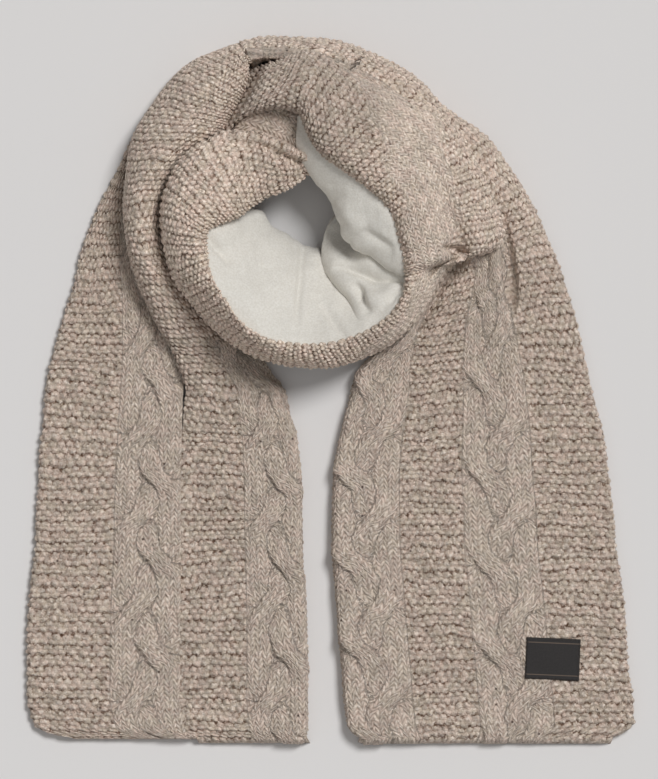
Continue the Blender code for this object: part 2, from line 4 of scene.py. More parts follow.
import bpy
import numpy as np
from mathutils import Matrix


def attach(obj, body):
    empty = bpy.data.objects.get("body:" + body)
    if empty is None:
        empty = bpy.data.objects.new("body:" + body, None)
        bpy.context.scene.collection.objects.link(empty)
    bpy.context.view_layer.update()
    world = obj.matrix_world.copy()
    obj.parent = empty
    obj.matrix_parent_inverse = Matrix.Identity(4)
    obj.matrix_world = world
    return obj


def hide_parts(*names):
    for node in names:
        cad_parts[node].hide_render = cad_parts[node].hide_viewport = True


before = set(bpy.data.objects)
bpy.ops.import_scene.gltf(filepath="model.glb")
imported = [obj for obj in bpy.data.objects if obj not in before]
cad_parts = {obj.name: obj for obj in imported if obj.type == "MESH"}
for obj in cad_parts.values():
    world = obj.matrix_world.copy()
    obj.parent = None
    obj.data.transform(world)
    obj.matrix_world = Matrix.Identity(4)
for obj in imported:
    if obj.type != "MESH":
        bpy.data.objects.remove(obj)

bl_info = {
    "name": "Cable-knit scarf",
    "version": (1, 0, 0),
    "blender": (4, 5, 0),
    "location": "3D View > Sidebar > Scarf",
    "description": "Dresses the packed scarf in knitted stretches, fleece lining and a woven label",
    "category": "Add Mesh",
}

MM = 0.001
PLAN_CENTRE = (0.58, 0.55)  # the frame's origin in the tables' plan, mm

# ---- settings


def length_setting(name, description, default, least=0.0):
    """A length property in metres."""
    return bpy.props.FloatProperty(
        name=name, description=description, default=default, min=least, unit="LENGTH")


def colour_setting(name, description, red, green, blue):
    """A colour property from sRGB values 0..255."""
    return bpy.props.FloatVectorProperty(
        name=name, description=description, size=3, min=0, max=1, subtype="COLOR_GAMMA",
        default=(red / 255, green / 255, blue / 255))


class ScarfKnit(bpy.types.PropertyGroup):
    """Sizes of the knit."""

    row: length_setting("Row", "Length of one knitted row in the flat ends", 0.004, 0.002)
    neck_row: length_setting(
        "Neck row", "Length of one knitted row where the scarf is gathered round the neck", 0.0035, 0.002)
    repeat: length_setting("Plait repeat", "Length in which a plait crosses once to each side", 0.064, 0.03)
    garter_depth: length_setting("Garter depth", "Height of the loops of the garter panels", 0.0016)
    plain_depth: length_setting("Plain depth", "Height of the stitches on the plaits", 0.0009)
    steps: bpy.props.IntProperty(
        name="Steps", description="Mesh rows for each knitted row", default=5, min=2, max=8)


class ScarfColours(bpy.types.PropertyGroup):
    """Colours of the yarn, the fleece and the label."""

    yarn_warm: colour_setting("Warm yarn", "Warm patches of the marl", 222, 200, 185)
    yarn_grey: colour_setting("Grey yarn", "Greyer patches of the marl", 214, 198, 180)
    yarn_light: colour_setting("Light fibres", "Light fibres in the yarn", 243, 230, 217)
    yarn_dark: colour_setting("Dark fibres", "Dark fibres in the yarn", 148, 127, 112)
    fleck: colour_setting("Flecks", "Sparse brown flecks", 70, 50, 42)
    fleece: colour_setting("Fleece", "Hollows of the fleece", 221, 217, 208)
    fleece_light: colour_setting("Fleece tips", "Tips of the fleece", 234, 231, 224)
    label: colour_setting("Label", "Woven ground of the label", 30, 27, 27)
    label_line: colour_setting("Label lines", "Thin woven lines across the label", 112, 96, 84)


class ScarfStage(bpy.types.PropertyGroup):
    """Floor, light and camera."""

    floor: colour_setting("Floor", "Colour of the floor", 228, 226, 225)
    key: bpy.props.FloatProperty(name="Key", description="Strength of the key light", default=1.95, min=0)
    fill: bpy.props.FloatProperty(name="Fill", description="Strength of the fill light", default=0.22, min=0)
    sky: bpy.props.FloatProperty(name="Sky", description="Strength of the even light", default=0.25, min=0)
    camera_height: length_setting("Camera height", "Height of the camera above the floor", 6.0, 1.0)


Sizes = namedtuple("Sizes", "row neck_row repeat garter plain steps")


def sizes():
    """The knit settings, with lengths in mm."""
    s = bpy.context.scene.scarf_knit
    return Sizes(s.row / MM, s.neck_row / MM, s.repeat / MM, s.garter_depth / MM, s.plain_depth / MM, s.steps)


# ---- section tables (mm)
# Each row is one section across the cloth: its inner edge x, y, z, its outer edge x, y, z,
# the arch of its middle, the height of the cloth above the inner and the outer edge, and
# how deep the pleat is.  What a row leaves out at its end is 0.

LEFT_INNER = [
    (-16, -252, 0, -96, -252, 0, 0, 13.5, 8.4),
    (-15, -247, 0, -103, -247, 0, 0, 15, 8.4),
    (-15, -234, 0, -106.5, -234, 0, 0, 15, 8.4),
    (-15, -204, 0, -107.4, -204, 0, 0, 15, 8.4),
    (-15, -175, 0, -107.4, -175, 0, 0, 15, 8.4),
    (-16, -146, 0, -107, -146, 0, 0, 15, 8.4),
    (-18, -117, 0, -106.7, -117, 0, 0, 15, 8.4),
    (-19, -89, 0, -106.8, -89, 0, 0, 15, 8.4),
    (-20, -60, 0, -106.5, -60, 0, 0, 15, 8.4),
    (-23, -34, 0, -106.2, -32.6, 0, 2, 13, 8.6),
    (-28.5, -13.5, 0, -105.4, -10, 0.5, 8, 6, 8.4),
    (-30, -3, 0, -104.8, -2, 4.5, 12, 2, 5),
    (-39, 9, 0, -107, 7, 9.5, 15, 0, 1),
    (-49, 22, 0, -114, 25, 10.6, 18, 0, 0),
    (-64, 36, 0, -122, 39, 10.6, 24, 0, 0),
    (-81, 52, 0, -131, 56, 10.6, 30, 0, 0),
    (-96, 71, 0, -139, 73, 10.6, 34, 0, 0),
    (-108, 90, 0, -144, 90, 10.6, 37, 0, 0),
    (-114, 111, 0, -148, 109, 10.6, 40, 0, 0),
    (-114, 133, 4, -149, 127, 10.6, 42, 0, 0),
    (-107, 150, 12, -148, 145, 10.6, 44, 0, 0),
    (-95, 165, 22, -146, 162, 11, 45, 0, 0),
    (-76.5, 178, 32, -141, 184, 6, 46, 0, 0),
    (-70.8, 190, 36, -129, 204, 0, 44, 0, 0),
    (-65.2, 201, 38, -116, 222, 0, 42, 0, 0),
    (-60, 211, 38, -100, 235, 0, 40, 0, 0),
    (-56.5, 222, 37, -82, 243, 0, 35, 0, 0),
    (-55, 231.5, 34, -65, 248.6, 0, 30, 0, 0),
    (-51.5, 232.5, 32, -61, 249.6, 0, 28, 0, 0),
]
# Flat on the table: edges x, y and heights alone
LEFT_OUTER = [(x, y, 0, far_x, far_y, 0, 0, inner, outer) for x, y, far_x, far_y, inner, outer in (
    (-96, -252, -191, -252, 8.4, 8),
    (-103, -247, -208, -247, 8.4, 8),
    (-106.5, -234, -216, -234, 8.4, 8),
    (-107.4, -204, -218, -204, 8.4, 8),
    (-107.4, -175, -218, -175, 8.4, 8),
    (-107, -146, -216, -146, 8.4, 8),
    (-106.7, -117, -213, -117, 8.4, 8),
    (-106.8, -89, -212, -89, 8.4, 8),
    (-106.5, -60, -210, -60, 8.4, 8),
    (-106.2, -32.6, -207, -31, 8.6, 8),
    (-105.4, -10, -205, -7, 8.4, 8),
    (-105, 6, -203, 10, 8, 8),
    (-107, 26, -199, 28, 8, 8),
    (-112, 48, -193, 48, 8, 8),
    (-120, 72, -185, 72, 8, 8),
    (-128, 96, -179, 98, 8, 8),
    (-132, 118, -171, 120, 8, 8),
    (-133, 138, -161, 141, 8, 8),
    (-132, 154, -151, 160, 8, 8),
    (-129, 165, -145, 173, 8, 8),
    (-122, 178, -138, 184, 7, 5.5),
    (-112, 194, -128, 200, 3, 1.5),
)]
RIGHT = [
    (21, -252, 0, 205, -252, 0, 0, 13.5, 8, 0),
    (14, -247, 0, 216, -246, 0, 0, 15, 8, 0),
    (10, -233, 0, 219, -233, 0, 0, 15, 8, 0),
    (8, -204, 0, 216, -204, 0, 0, 15, 8, 0),
    (5, -175, 0, 214, -175, 0, 0, 15, 8, 0),
    (3, -146, 0, 211, -146, 0, 0, 15, 8, 0),
    (1, -117, 0, 207, -117, 0, 0, 15, 8, 0),
    (1, -89, 0, 205, -89, 0, 0, 15, 8, 0),
    (2, -60, 0, 201, -60, 0, 0, 15, 8, 0),
    (7, -31, 0, 197, -31, 0, 0, 15, 8, 0),
    (13, -9, 0, 191, -9, 0, 0, 15, 8, 0),
    (19, 11, 0, 186, 14, 0, 0, 15, 8, 0),
    (31, 25, 0, 181, 37, 0, 1, 14, 8, 0),
    (42.5, 37.8, 0, 176, 55.6, 0, 3, 12, 8, 2),
    (55, 52, 0, 171, 71, 0, 5, 10, 8, 7),
    (66, 69, 0, 165, 90, 0, 7, 10, 8, 9),
    (74, 87, 0, 157, 109, 0, 11, 11, 8, 7),
    (80, 104, 0, 150, 125, 0, 16, 12, 8, 3),
    (84, 120, 0, 142, 140, 0, 21, 13, 8, 0),
    (84, 137, 0, 131, 158, 0, 25, 14, 8, 0),
    (79, 154, 0, 116, 178, 0, 28, 16, 8, 0),
    (68, 169, 0, 95, 194, 0, 31, 18, 8, 0),
    (55, 179, 0, 82, 204, 0, 33, 18, 8, 0),
    (40, 190, 0, 68, 219, 0, 34, 18, 8, 0),
    (22, 204, 0, 51, 231, 0, 34, 18, 8, 0),
    (6, 214, 0, 31, 241, 0, 34, 18, 8, 0),
    (-9, 222, 3, 13, 248, 0, 34, 16, 8, 0),
    (-20, 228, 10, -5, 252, 0, 33, 13, 7, 0),
    (-32, 231.5, 19, -25, 253, 0, 32, 9, 5, 0),
    (-45, 232.5, 28, -46, 252.5, 0, 31, 4, 2, 0),
    (-55, 231.5, 34, -65, 248.6, 0, 30, 0, 0, 0),
]
# Edges, arch and pleat: the cloth has no height of its own here
RING = [row[:7] + (0, 0) + row[7:] for row in (
    (-80, 187, 44, -57, 233, 26, 6, 0),
    (-72, 183.2, 58, -48.8, 229.4, 40, 8, 0),
    (-67, 188, 62, -44, 232, 44.5, 17, 0),
    (-58, 193, 66, -38, 233, 46, 24, 0),
    (-47, 196, 68, -27, 237, 47, 27, 0),
    (-34, 197, 69, -16, 241, 46, 27, 0),
    (-23, 195, 69, -3, 236, 45.5, 27, 0),
    (-18, 182.5, 68, 13, 227, 45.5, 27, 0),
    (-11.5, 171, 68, 30, 217, 46, 27, 0),
    (0, 160, 68, 51, 208, 46, 27, 0),
    (14, 150, 67, 71, 201, 44.5, 27, 0),
    (27, 141, 67, 86, 193, 42, 27, 1),
    (37.5, 131, 66, 98, 177, 40.5, 26, 3),
    (44, 119, 66, 108, 158, 38, 26, 6),
    (48.5, 107, 66, 116, 140, 35, 26, 9),
    (51.3, 97, 66, 122, 124, 31, 25, 11),
    (53, 90, 66, 125.5, 109, 26, 24, 13),
    (53.8, 85, 66, 121, 99, 22.8, 22, 14),
    (54, 81.4, 66, 107, 94, 22, 19, 14),
    (54.6, 79, 66, 92.3, 89.8, 21.2, 17, 12),
    (54.4, 74, 67, 84, 80, 18.4, 18, 5),
    (53.6, 68, 68, 77, 70, 16.6, 19, 0),
    (49, 59.5, 70, 70, 58, 17, 20, 0),
    (41.5, 50.5, 71, 58, 41, 20.4, 22, 0),
    (29.5, 41.5, 72, 42, 29, 27, 21, 0),
    (13, 34.5, 72, 22, 20, 38, 17, 0),
    (-6.5, 30.5, 72, 2, 14, 46, 14, 0),
    (-25, 30.5, 72, -24, 14, 47, 14, 0),
    (-43.5, 35, 72, -50, 20, 41, 17, 0),
    (-59.5, 45, 72, -71, 31, 30, 20, 0),
    (-71, 60, 71, -87, 44, 29.2, 21, 0),
    (-79, 73, 70, -99, 58, 32.4, 20, 0),
    (-85, 86, 69, -111, 75, 36.6, 20, 0),
    (-87, 97, 68, -118, 94, 40.4, 20, 0),
    (-87.5, 105, 67, -121, 114, 44.2, 22, 0),
    (-85.5, 112, 66, -120, 135, 49.6, 22, 0),
    (-75, 117, 62, -112, 156, 58.4, 21, 0),
    (-63, 121.5, 57, -97, 171, 65, 19, 0),
    (-54, 128.5, 52, -77, 180, 66, 16, 0),
    (-43, 134.5, 48, -57, 180, 65, 13, 0),
    (-32, 138.5, 46, -43, 176, 64, 10, 0),
    (-22.5, 145, 46, -28, 169, 61, 6, 0),
    (-14, 152, 46, -17, 166, 58, 3, 0),
    (-6, 157, 44, -9, 168, 52, 1, 0),
)]
TUCK = [
    (-76, 176, 54.6, -72, 181.5, 55.8, 1),
    (-68, 173, 57, -62, 196, 61, 2),
    (-57, 171, 57.6, -52, 204, 61.4, 2),
    (-46, 167, 57, -41, 206, 62, 2),
    (-35, 162, 54, -30, 206, 61, 2),
    (-25, 158, 51.9, -20, 196, 58, 2),
    (-13, 156, 48, -9, 188, 54, 2),
]
# Middle line x, y, half width and height of the layers hidden beneath the ring, and how far
# they reach on into the neck hole and how high they are there
HIDDEN_PATH = [
    (20, 42, 6.8, 34, 0, 34),
    (0, 38.6, 8.2, 41, 0, 41),
    (-22, 38, 8.2, 43, 0, 43),
    (-42, 44, 8, 42, 0, 42),
    (-62, 52, 9, 42, 0, 42),
    (-80, 72, 9, 44, 0, 44),
    (-92, 96, 10, 48, 0, 48),
    (-95, 120, 11, 48, 0, 48),
    (-87, 144, 12, 46, 0, 46),
    (-70, 163, 12, 44, 0, 44),
    (-56, 184, 13, 44, 0, 44),
    (-43, 208, 17, 44, 0, 44),
    (-18, 205, 13, 44, 6, 30),
    (9, 190, 14, 48, 15, 8),
    (31, 167, 16, 50, 27, 5),
    (49, 140, 17, 50, 29, 5),
    (60, 114, 14, 48, 20, 12),
    (64, 92, 9, 40, 0, 30),
]
LINING_FRONT = [
    (-90, 121, 65.1, -76, 125, 50, 0),
    (-92, 110, 66.6, -62, 129, 36, 5),
    (-93, 98, 67.3, -49, 127, 24, 9),
    (-92, 88, 68, -41, 115, 16, 12),
    (-89, 79, 68.8, -30, 109, 10, 14),
    (-83, 67, 70.1, -20, 104, 7, 14),
    (-74.5, 56.5, 70.5, -13, 101, 6, 14),
    (-62.5, 41.5, 71.6, -5, 98, 6, 14),
    (-45.3, 31, 71.6, 2, 93, 7, 13),
    (-25, 26, 71.6, 8, 86, 8, 12),
    (-5, 26.3, 71.6, 14, 79, 10, 12),
    (14.5, 31, 71, 21, 75, 12, 10),
    (31, 38, 70, 29, 76, 14, 9),
    (44, 48, 67.5, 37, 82, 18, 7),
]
LINING_FOLDS = [
    (14, 30.5, 71.3, 14, 54, 42, 2),
    (23, 34, 71, 13, 62, 31, 4),
    (33, 39, 71, 6, 72, 25, 6),
    (44, 47.5, 70, -2, 82, 21, 7),
    (51.5, 57.5, 69, -6, 93, 19, 6),
    (55.5, 66, 67.5, -5, 104, 19, 2),
    (58, 75, 65, 0, 116, 18, -5),
    (58.6, 84, 60, 12, 127, 16, -6),
]
LINING_BACK = [
    (-18, 193, 67, -24, 193, 64, 0),
    (-12.5, 184, 67, -25, 178, 60, 1),
    (-6.5, 172.5, 67, -21.5, 166, 55, 3),
    (4.5, 162.5, 66.4, -14.5, 152.5, 50, 6),
    (18, 153, 65, -5.5, 138.5, 46, 9),
    (31, 144.5, 65, 3, 127, 43, 11),
    (41.5, 134.5, 63.8, 9, 117.5, 42, 13),
    (48.5, 123, 63.8, 10, 107, 42, 14),
    (53, 110.5, 63.8, 18, 100, 43, 13),
    (55.5, 99.5, 64, 30, 94.5, 46, 10),
    (56.5, 90, 64, 41, 87, 52, 6),
    (56.5, 82, 64, 52, 78.5, 60, 1),
]

# Creases: x and y of both ends, depth (less than 0 for a ridge) and half width,
# mm
FOLDS_LEFT = [
    (-100, 30, -135, 100, 2, 9),
    (-118, 60, -143, 150, -1.5, 8),
    (-100, 190, -66, 236, 2, 6),
    (-180, 20, -150, 90, 1.2, 12),
    (-30, -20, -95, -60, 0.8, 12),
]
FOLDS_RIGHT = [
    (122, 112, 126, 84, 3.5, 2.2),
    (124, 100, 131, 54, 5, 2.4),
    (117, 102, 124, 62, -2, 5),
    (98, 94, 84, 76, 5, 3.5),
    (86, 80, 58, 34, 4, 3),
    (104, 74, 84, 50, -2, 12),
    (130, 80, 165, 10, 1.2, 10),
    (120, 120, 100, 60, 1.5, 8),
    (60, 200, 120, 150, 1.5, 9),
    (-30, 247, 40, 226, 1.5, 6),
    (60, 20, 30, -30, 0.8, 12),
]
FOLDS_RING = [
    (80, 101, 100, 93, 6, 4),
    (96, 100, 124, 104, -1.5, 6),
    (-84, 180, -44, 177, -2.4, 2.6),
    (-56, 180, -12, 160, -2.8, 2.6),
    (-78, 175, -40, 171, 3.6, 2.4),
    (-52, 174, -10, 154.5, 4, 2.4),
    (-44, 196, -30, 232, 1.6, 7),
    (0, 205, 45, 190, 1.5, 8),
    (20, 190, 80, 130, 1.4, 10),
    (60, 165, 95, 115, -1.2, 8),
    (-95, 100, -108, 140, 1.2, 6),
    (-60, 40, -95, 70, 1, 8),
    (20, 25, 60, 55, 1.2, 8),
    (-90, 150, -60, 172, 1.4, 7),
]
FOLDS_FLEECE = [
    (4, 86, 60, 74, 6, 3),
    (14, 101, 44, 80, -4, 6),
    (17, 76, 28, 52, 5, 3),
    (22, 66, 44, 60, -3, 6),
    (36, 56, 57, 74, 3, 3),
    (-18, 106, -24, 36, 3, 2.5),
    (-92, 112, -68, 88, 4, 3),
    (-84, 80, -50, 60, -2, 9),
    (-6, 60, 12, 34, 3, 3),
    (8, 134, 22, 110, -3, 6),
    (22, 112, 46, 96, 3, 3.5),
]
# Where the cloth is pulled tight along a pleat and its loops lie flatter
TIGHT = [(120, 120, 133, 44, -1, 6.5)]

# ---- shared mathematics


def smooth(x):
    """Smoothstep: 0 below 0, 1 above 1, 3x2 - 2x3 between."""
    x = np.clip(x, 0.0, 1.0)
    return x * x * (3 - 2 * x)


def waves(x, y, seed, scale, count=10):
    """Slow unevenness, about -1 to 1: a sum of sine waves with random directions whose
    lengths lie round the given scale."""
    dice = np.random.default_rng(seed)
    total = np.zeros(np.broadcast(x, y).shape)
    for _ in range(count):
        angle = dice.uniform(0, math.pi)
        k = 2 * math.pi / (scale * dice.uniform(0.6, 1.7))
        total += np.sin(k * (x * math.cos(angle) + y * math.sin(angle)) + dice.uniform(0, 6.3))
    return total / math.sqrt(count)


def dice_of(i, j, seed):
    """A fixed random number 0..1 for each pair of whole numbers."""
    table = np.random.default_rng(seed).random((97, 89))
    return table[np.mod(i.astype(int), 97), np.mod(j.astype(int), 89)]


def even_steps(start, stop, step, whole=round):
    """Distances from start to stop in even steps of about the given length."""
    return np.linspace(start, stop, int(whole((stop - start) / step)) + 1)


def run_along(table, spine):
    """A table's rows, filled up with 0 to ten numbers, and the distance run to each along
    the spine (0 inner edge .. 1 outer edge)."""
    rows = np.array(table, float)
    rows = np.pad(rows, ((0, 0), (0, 10 - rows.shape[1])))
    line = rows[:, 0:2] + (rows[:, 3:5] - rows[:, 0:2]) * spine
    return rows, np.concatenate([[0], np.cumsum(np.linalg.norm(np.diff(line, axis=0), axis=1))])


def length_of(table, spine):
    """Length of a table's spine."""
    return run_along(table, spine)[1][-1]


def read_table(table, spine, at):
    """Table rows at the given distances along the spine: cubic Hermite spans whose slopes
    are the differences of the neighbouring rows."""
    rows, run = run_along(table, spine)
    slope = np.gradient(rows, run, axis=0)
    span = np.clip(np.searchsorted(run, at, side="right") - 1, 0, len(run) - 2)
    width = (run[span + 1] - run[span])[:, None]
    t = (at - run[span])[:, None] / width
    start = (2 * t**3 - 3 * t**2 + 1) * rows[span] + (t**3 - 2 * t**2 + t) * width * slope[span]
    end = (3 * t**2 - 2 * t**3) * rows[span + 1] + (t**3 - t**2) * width * slope[span + 1]
    return start + end


ROLL_STEPS = 14
ROLL_TURN = math.radians(100)
MAIN_STEPS = 220
NOTHING = 1e-12  # keeps a division from 0


def rounded(distance, edge):
    """0 at an edge to 1 at the given distance from it, as a quarter ellipse; 1 without one."""
    return np.sqrt(1 - (1 - np.clip(distance / edge, 0, 1)) ** 2) if edge else 1.0


def sections(rows, roll_in=0.0, roll_out=0.0, edge_in=0.0, edge_out=0.0, pleat_at=0.5, pleat_wide=0.1):
    """Dense sections across the cloth.  Share = (1 - cos t) / 2 for t from 0 to pi.  The
    height is the line between the edges, plus the thickness rounded off near each edge as a
    quarter ellipse, plus the arch times sin t to the power 0.8, less a bell-shaped pleat.  A
    part circle turns the cloth under at either end."""
    t = np.linspace(0, math.pi, MAIN_STEPS)[None, :]
    share = 0.5 - 0.5 * np.cos(t)
    inner, outer = rows[:, None, 0:3], rows[:, None, 3:6]
    flat = rows[:, 3:5] - rows[:, 0:2]
    width = np.linalg.norm(flat, axis=1)[:, None]
    arch, high_in, high_out, pleat = (rows[:, i][:, None] for i in (6, 7, 8, 9))
    lift = high_in + (high_out - high_in) * share
    if edge_in or edge_out:
        foot = np.maximum(roll_in * (1 - share) + roll_out * share, 0.0)
        rims = rounded(share * width, edge_in), rounded(width - share * width, edge_out)
        lift = (lift - foot) * rims[0] * rims[1] + foot
    grid = inner + (outer - inner) * share[..., None]
    grid[..., 2] += lift + arch * np.clip(np.sin(t), 0, 1) ** 0.8
    grid[..., 2] -= pleat * np.exp(-(((share - pleat_at) / pleat_wide) ** 2))
    parts = [grid]
    inward = np.concatenate([flat / width, np.zeros((len(rows), 1))], axis=1)[:, None, :]
    turn = np.linspace(0, ROLL_TURN, ROLL_STEPS)[None, 1:, None]
    aside, down = inward * (1 - np.cos(turn)), np.array([0.0, 0.0, -1.0]) * np.sin(turn)
    if roll_in:
        parts.insert(0, (grid[:, :1] + roll_in * (down + aside))[:, ::-1])
    if roll_out:
        parts.append(grid[:, -1:] + roll_out * (down - aside))
    return np.concatenate(parts, axis=1)


def arc_of(dense):
    """Distance run along each section."""
    step = np.linalg.norm(np.diff(dense, axis=1), axis=2)
    return np.concatenate([np.zeros((len(dense), 1)), np.cumsum(step, axis=1)], axis=1)


def at_share(arc, share, rolled):
    """The distance along each section at which the given share of its width is reached."""
    start = ROLL_STEPS - 1 if rolled else 0
    place = start + np.arccos(1 - 2 * np.clip(share, 0, 1)) / math.pi * (MAIN_STEPS - 1)
    low = np.clip(np.floor(place).astype(int), 0, arc.shape[1] - 2)
    line = np.arange(len(arc))
    return arc[line, low] + (arc[line, low + 1] - arc[line, low]) * (place - low)


def place_on(dense, arc, target):
    """Points of each section at the target distances, by straight steps between samples."""
    line = np.arange(len(arc))[:, None]
    shift = line * (arc.max() * 4 + 10)
    target = np.clip(target, 0, arc[:, -1:])
    flat = np.searchsorted((arc + shift).ravel(), (target + shift).ravel(), side="right") - 1
    column = np.clip(flat.reshape(target.shape) - line * arc.shape[1], 0, arc.shape[1] - 2)
    a, b = arc[line, column], arc[line, column + 1]
    t = ((target - a) / np.maximum(b - a, NOTHING))[..., None]
    return dense[line, column] * (1 - t) + dense[line, column + 1] * t


def normals_of(grid):
    """Unit normals of a grid of points, from the cross product of its two directions."""
    normal = np.cross(np.gradient(grid, axis=0), np.gradient(grid, axis=1))
    normal /= np.maximum(np.linalg.norm(normal, axis=2, keepdims=True), NOTHING)
    middle = normal[:, normal.shape[1] // 2, 2].mean()
    return normal if middle > 0 else -normal


def crease(points, folds):
    """Soft troughs and ridges placed by hand.  Each fold is bell-shaped across its line and
    fades towards the line's ends as a half sine."""
    total = np.zeros(points.shape[:2])
    for x0, y0, x1, y1, depth, wide in folds:
        run = np.array([x1 - x0, y1 - y0])
        length = np.linalg.norm(run)
        away = points[..., 0:2] - np.array([x0, y0])
        along = away @ (run / length)
        across = away @ np.array([-run[1], run[0]]) / length
        fade = np.sin(math.pi * np.clip(along / length, 0, 1)) ** 0.7
        total -= depth * fade * np.exp(-((across / wide) ** 2))
    return total


# ---- knitted relief


# Phase, place in the ridge, bow, half width, half height and size of the two lines of loops
LOOPS = ((0.0, 0.26, 0.08, 0.66, 0.33, 1.0), (0.5, 0.75, -0.08, 0.60, 0.31, 0.92))
STITCH = 6.0  # width of a garter stitch, mm
LEG_SLOPE = 2.0  # rows that a leg of a V climbs for each stitch of width
LEG_ACROSS, LEG_ALONG = 0.85, 0.6  # how fast a leg falls off across and along
# Where a strand crosses, in repeats, the places that it moves aside, and whether it lies over
CROSSINGS = ((0.25, 1, 1), (1.25, -1, -1), (1.75, -1, 1), (2.75, 1, -1))
MOVE = 28.0  # how long a strand takes to cross, mm
STRAND_WIDE = 1.1  # width of a strand, in thirds of the plait
STRAND_HIGH, STRAND_LIFT = 0.9, 2.5  # height of a strand, and its rise where it lies over, mm


def garter(u, v, seed):
    """Garter stitch, 0..1: in each ridge two lines of yarn loops half a stitch apart, bowed
    away from each other; each loop is a soft oval mound, a cosine of the distance from its
    middle, and the highest shows."""
    ridge = np.floor(v / 2)
    height = np.zeros(u.shape)
    for step in (-1, 0, 1):
        line = ridge + step
        within = v / 2 - line
        for half, (phase, centre, bow, wide, tall, size) in enumerate(LOOPS):
            loop = np.round(u - phase)
            beside = u - phase - loop
            above = within - (centre + bow * (2 * beside) ** 2)
            chance = dice_of(line * 2 + half, loop, seed)
            away = np.sqrt((beside / (wide * (0.9 + 0.2 * chance))) ** 2 + (above / tall) ** 2)
            mound = np.cos(np.minimum(away, 1.0) * math.pi / 2)
            height = np.maximum(height, size * (0.7 + 0.55 * chance) * mound)
    return height


def plain(u, v, seed):
    """Plain knit, 0..1: columns of Vs.  Each leg is a slanted soft oval: a cosine of the
    distance from its middle, counted across the leg and from the column's middle to its
    side."""
    beside = np.abs(u - np.floor(u) - 0.5)
    slanted = v - LEG_SLOPE * beside
    across = 2 * (slanted - np.floor(slanted)) - 1
    along = 4 * beside - 1
    part = 0.8 + 0.4 * dice_of(np.floor(slanted), np.floor(u * 2), seed)
    away = np.sqrt(LEG_ACROSS * across**2 + LEG_ALONG * along**2)
    return part * np.cos(np.minimum(away, 1.0) * math.pi / 2)


def hump(s, middle, repeat):
    """1 at the middle of a crossing, falling as a squared cosine to 0 at its ends."""
    gap = np.mod(s - middle + repeat * 1.5, repeat * 3) - repeat * 1.5
    return np.cos(np.clip(gap / (MOVE * 1.3), -0.5, 0.5) * math.pi) ** 2


def plait(share, along, turn, phase, repeat):
    """Three strands of three stitches.  A strand steps one place outwards over its
    neighbour, and later one place back beneath it, with smoothstep moves; it rises where it
    lies over.  The highest strand shows, and the nearest one fills what none covers.
    Gives the strand's height in mm and the stitch number across it."""
    best = np.full(np.broadcast(share, along).shape, -99.0)
    stitch = np.zeros(best.shape)
    for strand in range(3):
        s = np.mod(turn * along + phase + strand * repeat, repeat * 3)
        centre, lift = 0.5, 0.0
        for at, aside, up in CROSSINGS:
            centre = centre + aside / 3 * smooth((s - at * repeat) / MOVE + 0.5)
            lift = lift + up * hump(s, at * repeat, repeat)
        offset = (share - centre) * 6 / STRAND_WIDE  # -1 .. 1 over the strand
        reach = np.abs(offset)
        height = STRAND_LIFT * lift + STRAND_HIGH * np.sqrt(np.clip(1 - reach**4, 0, None))
        height = np.where(reach > 1, -1.0 - 2 * (reach - 1), height)
        stitch = np.where(height > best, strand * 10 + offset * 1.5 + 1.5, stitch)
        best = np.maximum(height, best)
    return np.maximum(best, 0.0), stitch


def edge_braid(distance, v, wide):
    """Plump slanted loops along a finished edge, one for every two rows: half ellipsoids."""
    across = distance / wide
    along = (v / 2 - np.floor(v / 2) - 0.5 - 0.15 * across) / 0.52
    return np.sqrt(np.clip(1 - across**2 - along**2, 0, None))


def between(u, low, high, soft=0.12):
    """1 inside low..high stitches, falling to 0 over a soft edge."""
    return smooth((u - low) / soft + 0.5) * smooth((high - u) / soft + 0.5)


Knit = namedtuple("Knit", "relief stitch row plain")


def knit(u, v, zones, seed, braid=0.0):
    """Relief in mm of a stretch, its stitch and row numbers for the yarn's pattern, and how
    plain the knit is.  Each zone is a mask, a kind of knit and, for a plait, the stitches
    where it starts and stops, its turn and its phase.  The masks add up to one, and the
    highest mask names the stitch."""
    size = sizes()
    x, y = u * STITCH, v * size.row
    u = u + 0.10 * waves(x, y, seed, 14)
    v = v + 0.20 * waves(x, y, seed + 1, 20) + 0.5 * waves(x, y, seed + 2, 90)
    relief, plain_share, best = (np.zeros(u.shape) for _ in range(3))
    stitch = u
    for mask, kind, *plaited in zones:
        strand, number = 0.6, u
        if kind == "garter":
            part = size.garter * garter(u, v, seed) - 0.9
        else:
            if kind == "plait":
                start, stop, turn, phase = plaited
                share = (u - start) / (stop - start)
                strand, number = plait(share, v * size.row, turn, phase, size.repeat)
            else:
                number = u * 0.87
            part = strand + size.plain * plain(number, v, seed) - 0.7
            plain_share = plain_share + mask
        relief = relief + mask * part
        stitch = np.where(mask > best, number, stitch)
        best = np.maximum(best, mask)
    return Knit(relief + 0.15 * waves(x, y, seed + 4, 3.2) + braid, stitch, v, plain_share)


# ---- meshes


def to_world(points):
    """Table millimetres to metres in the frame."""
    return (points - np.array([PLAN_CENTRE[0], PLAN_CENTRE[1], 0.0])) * MM


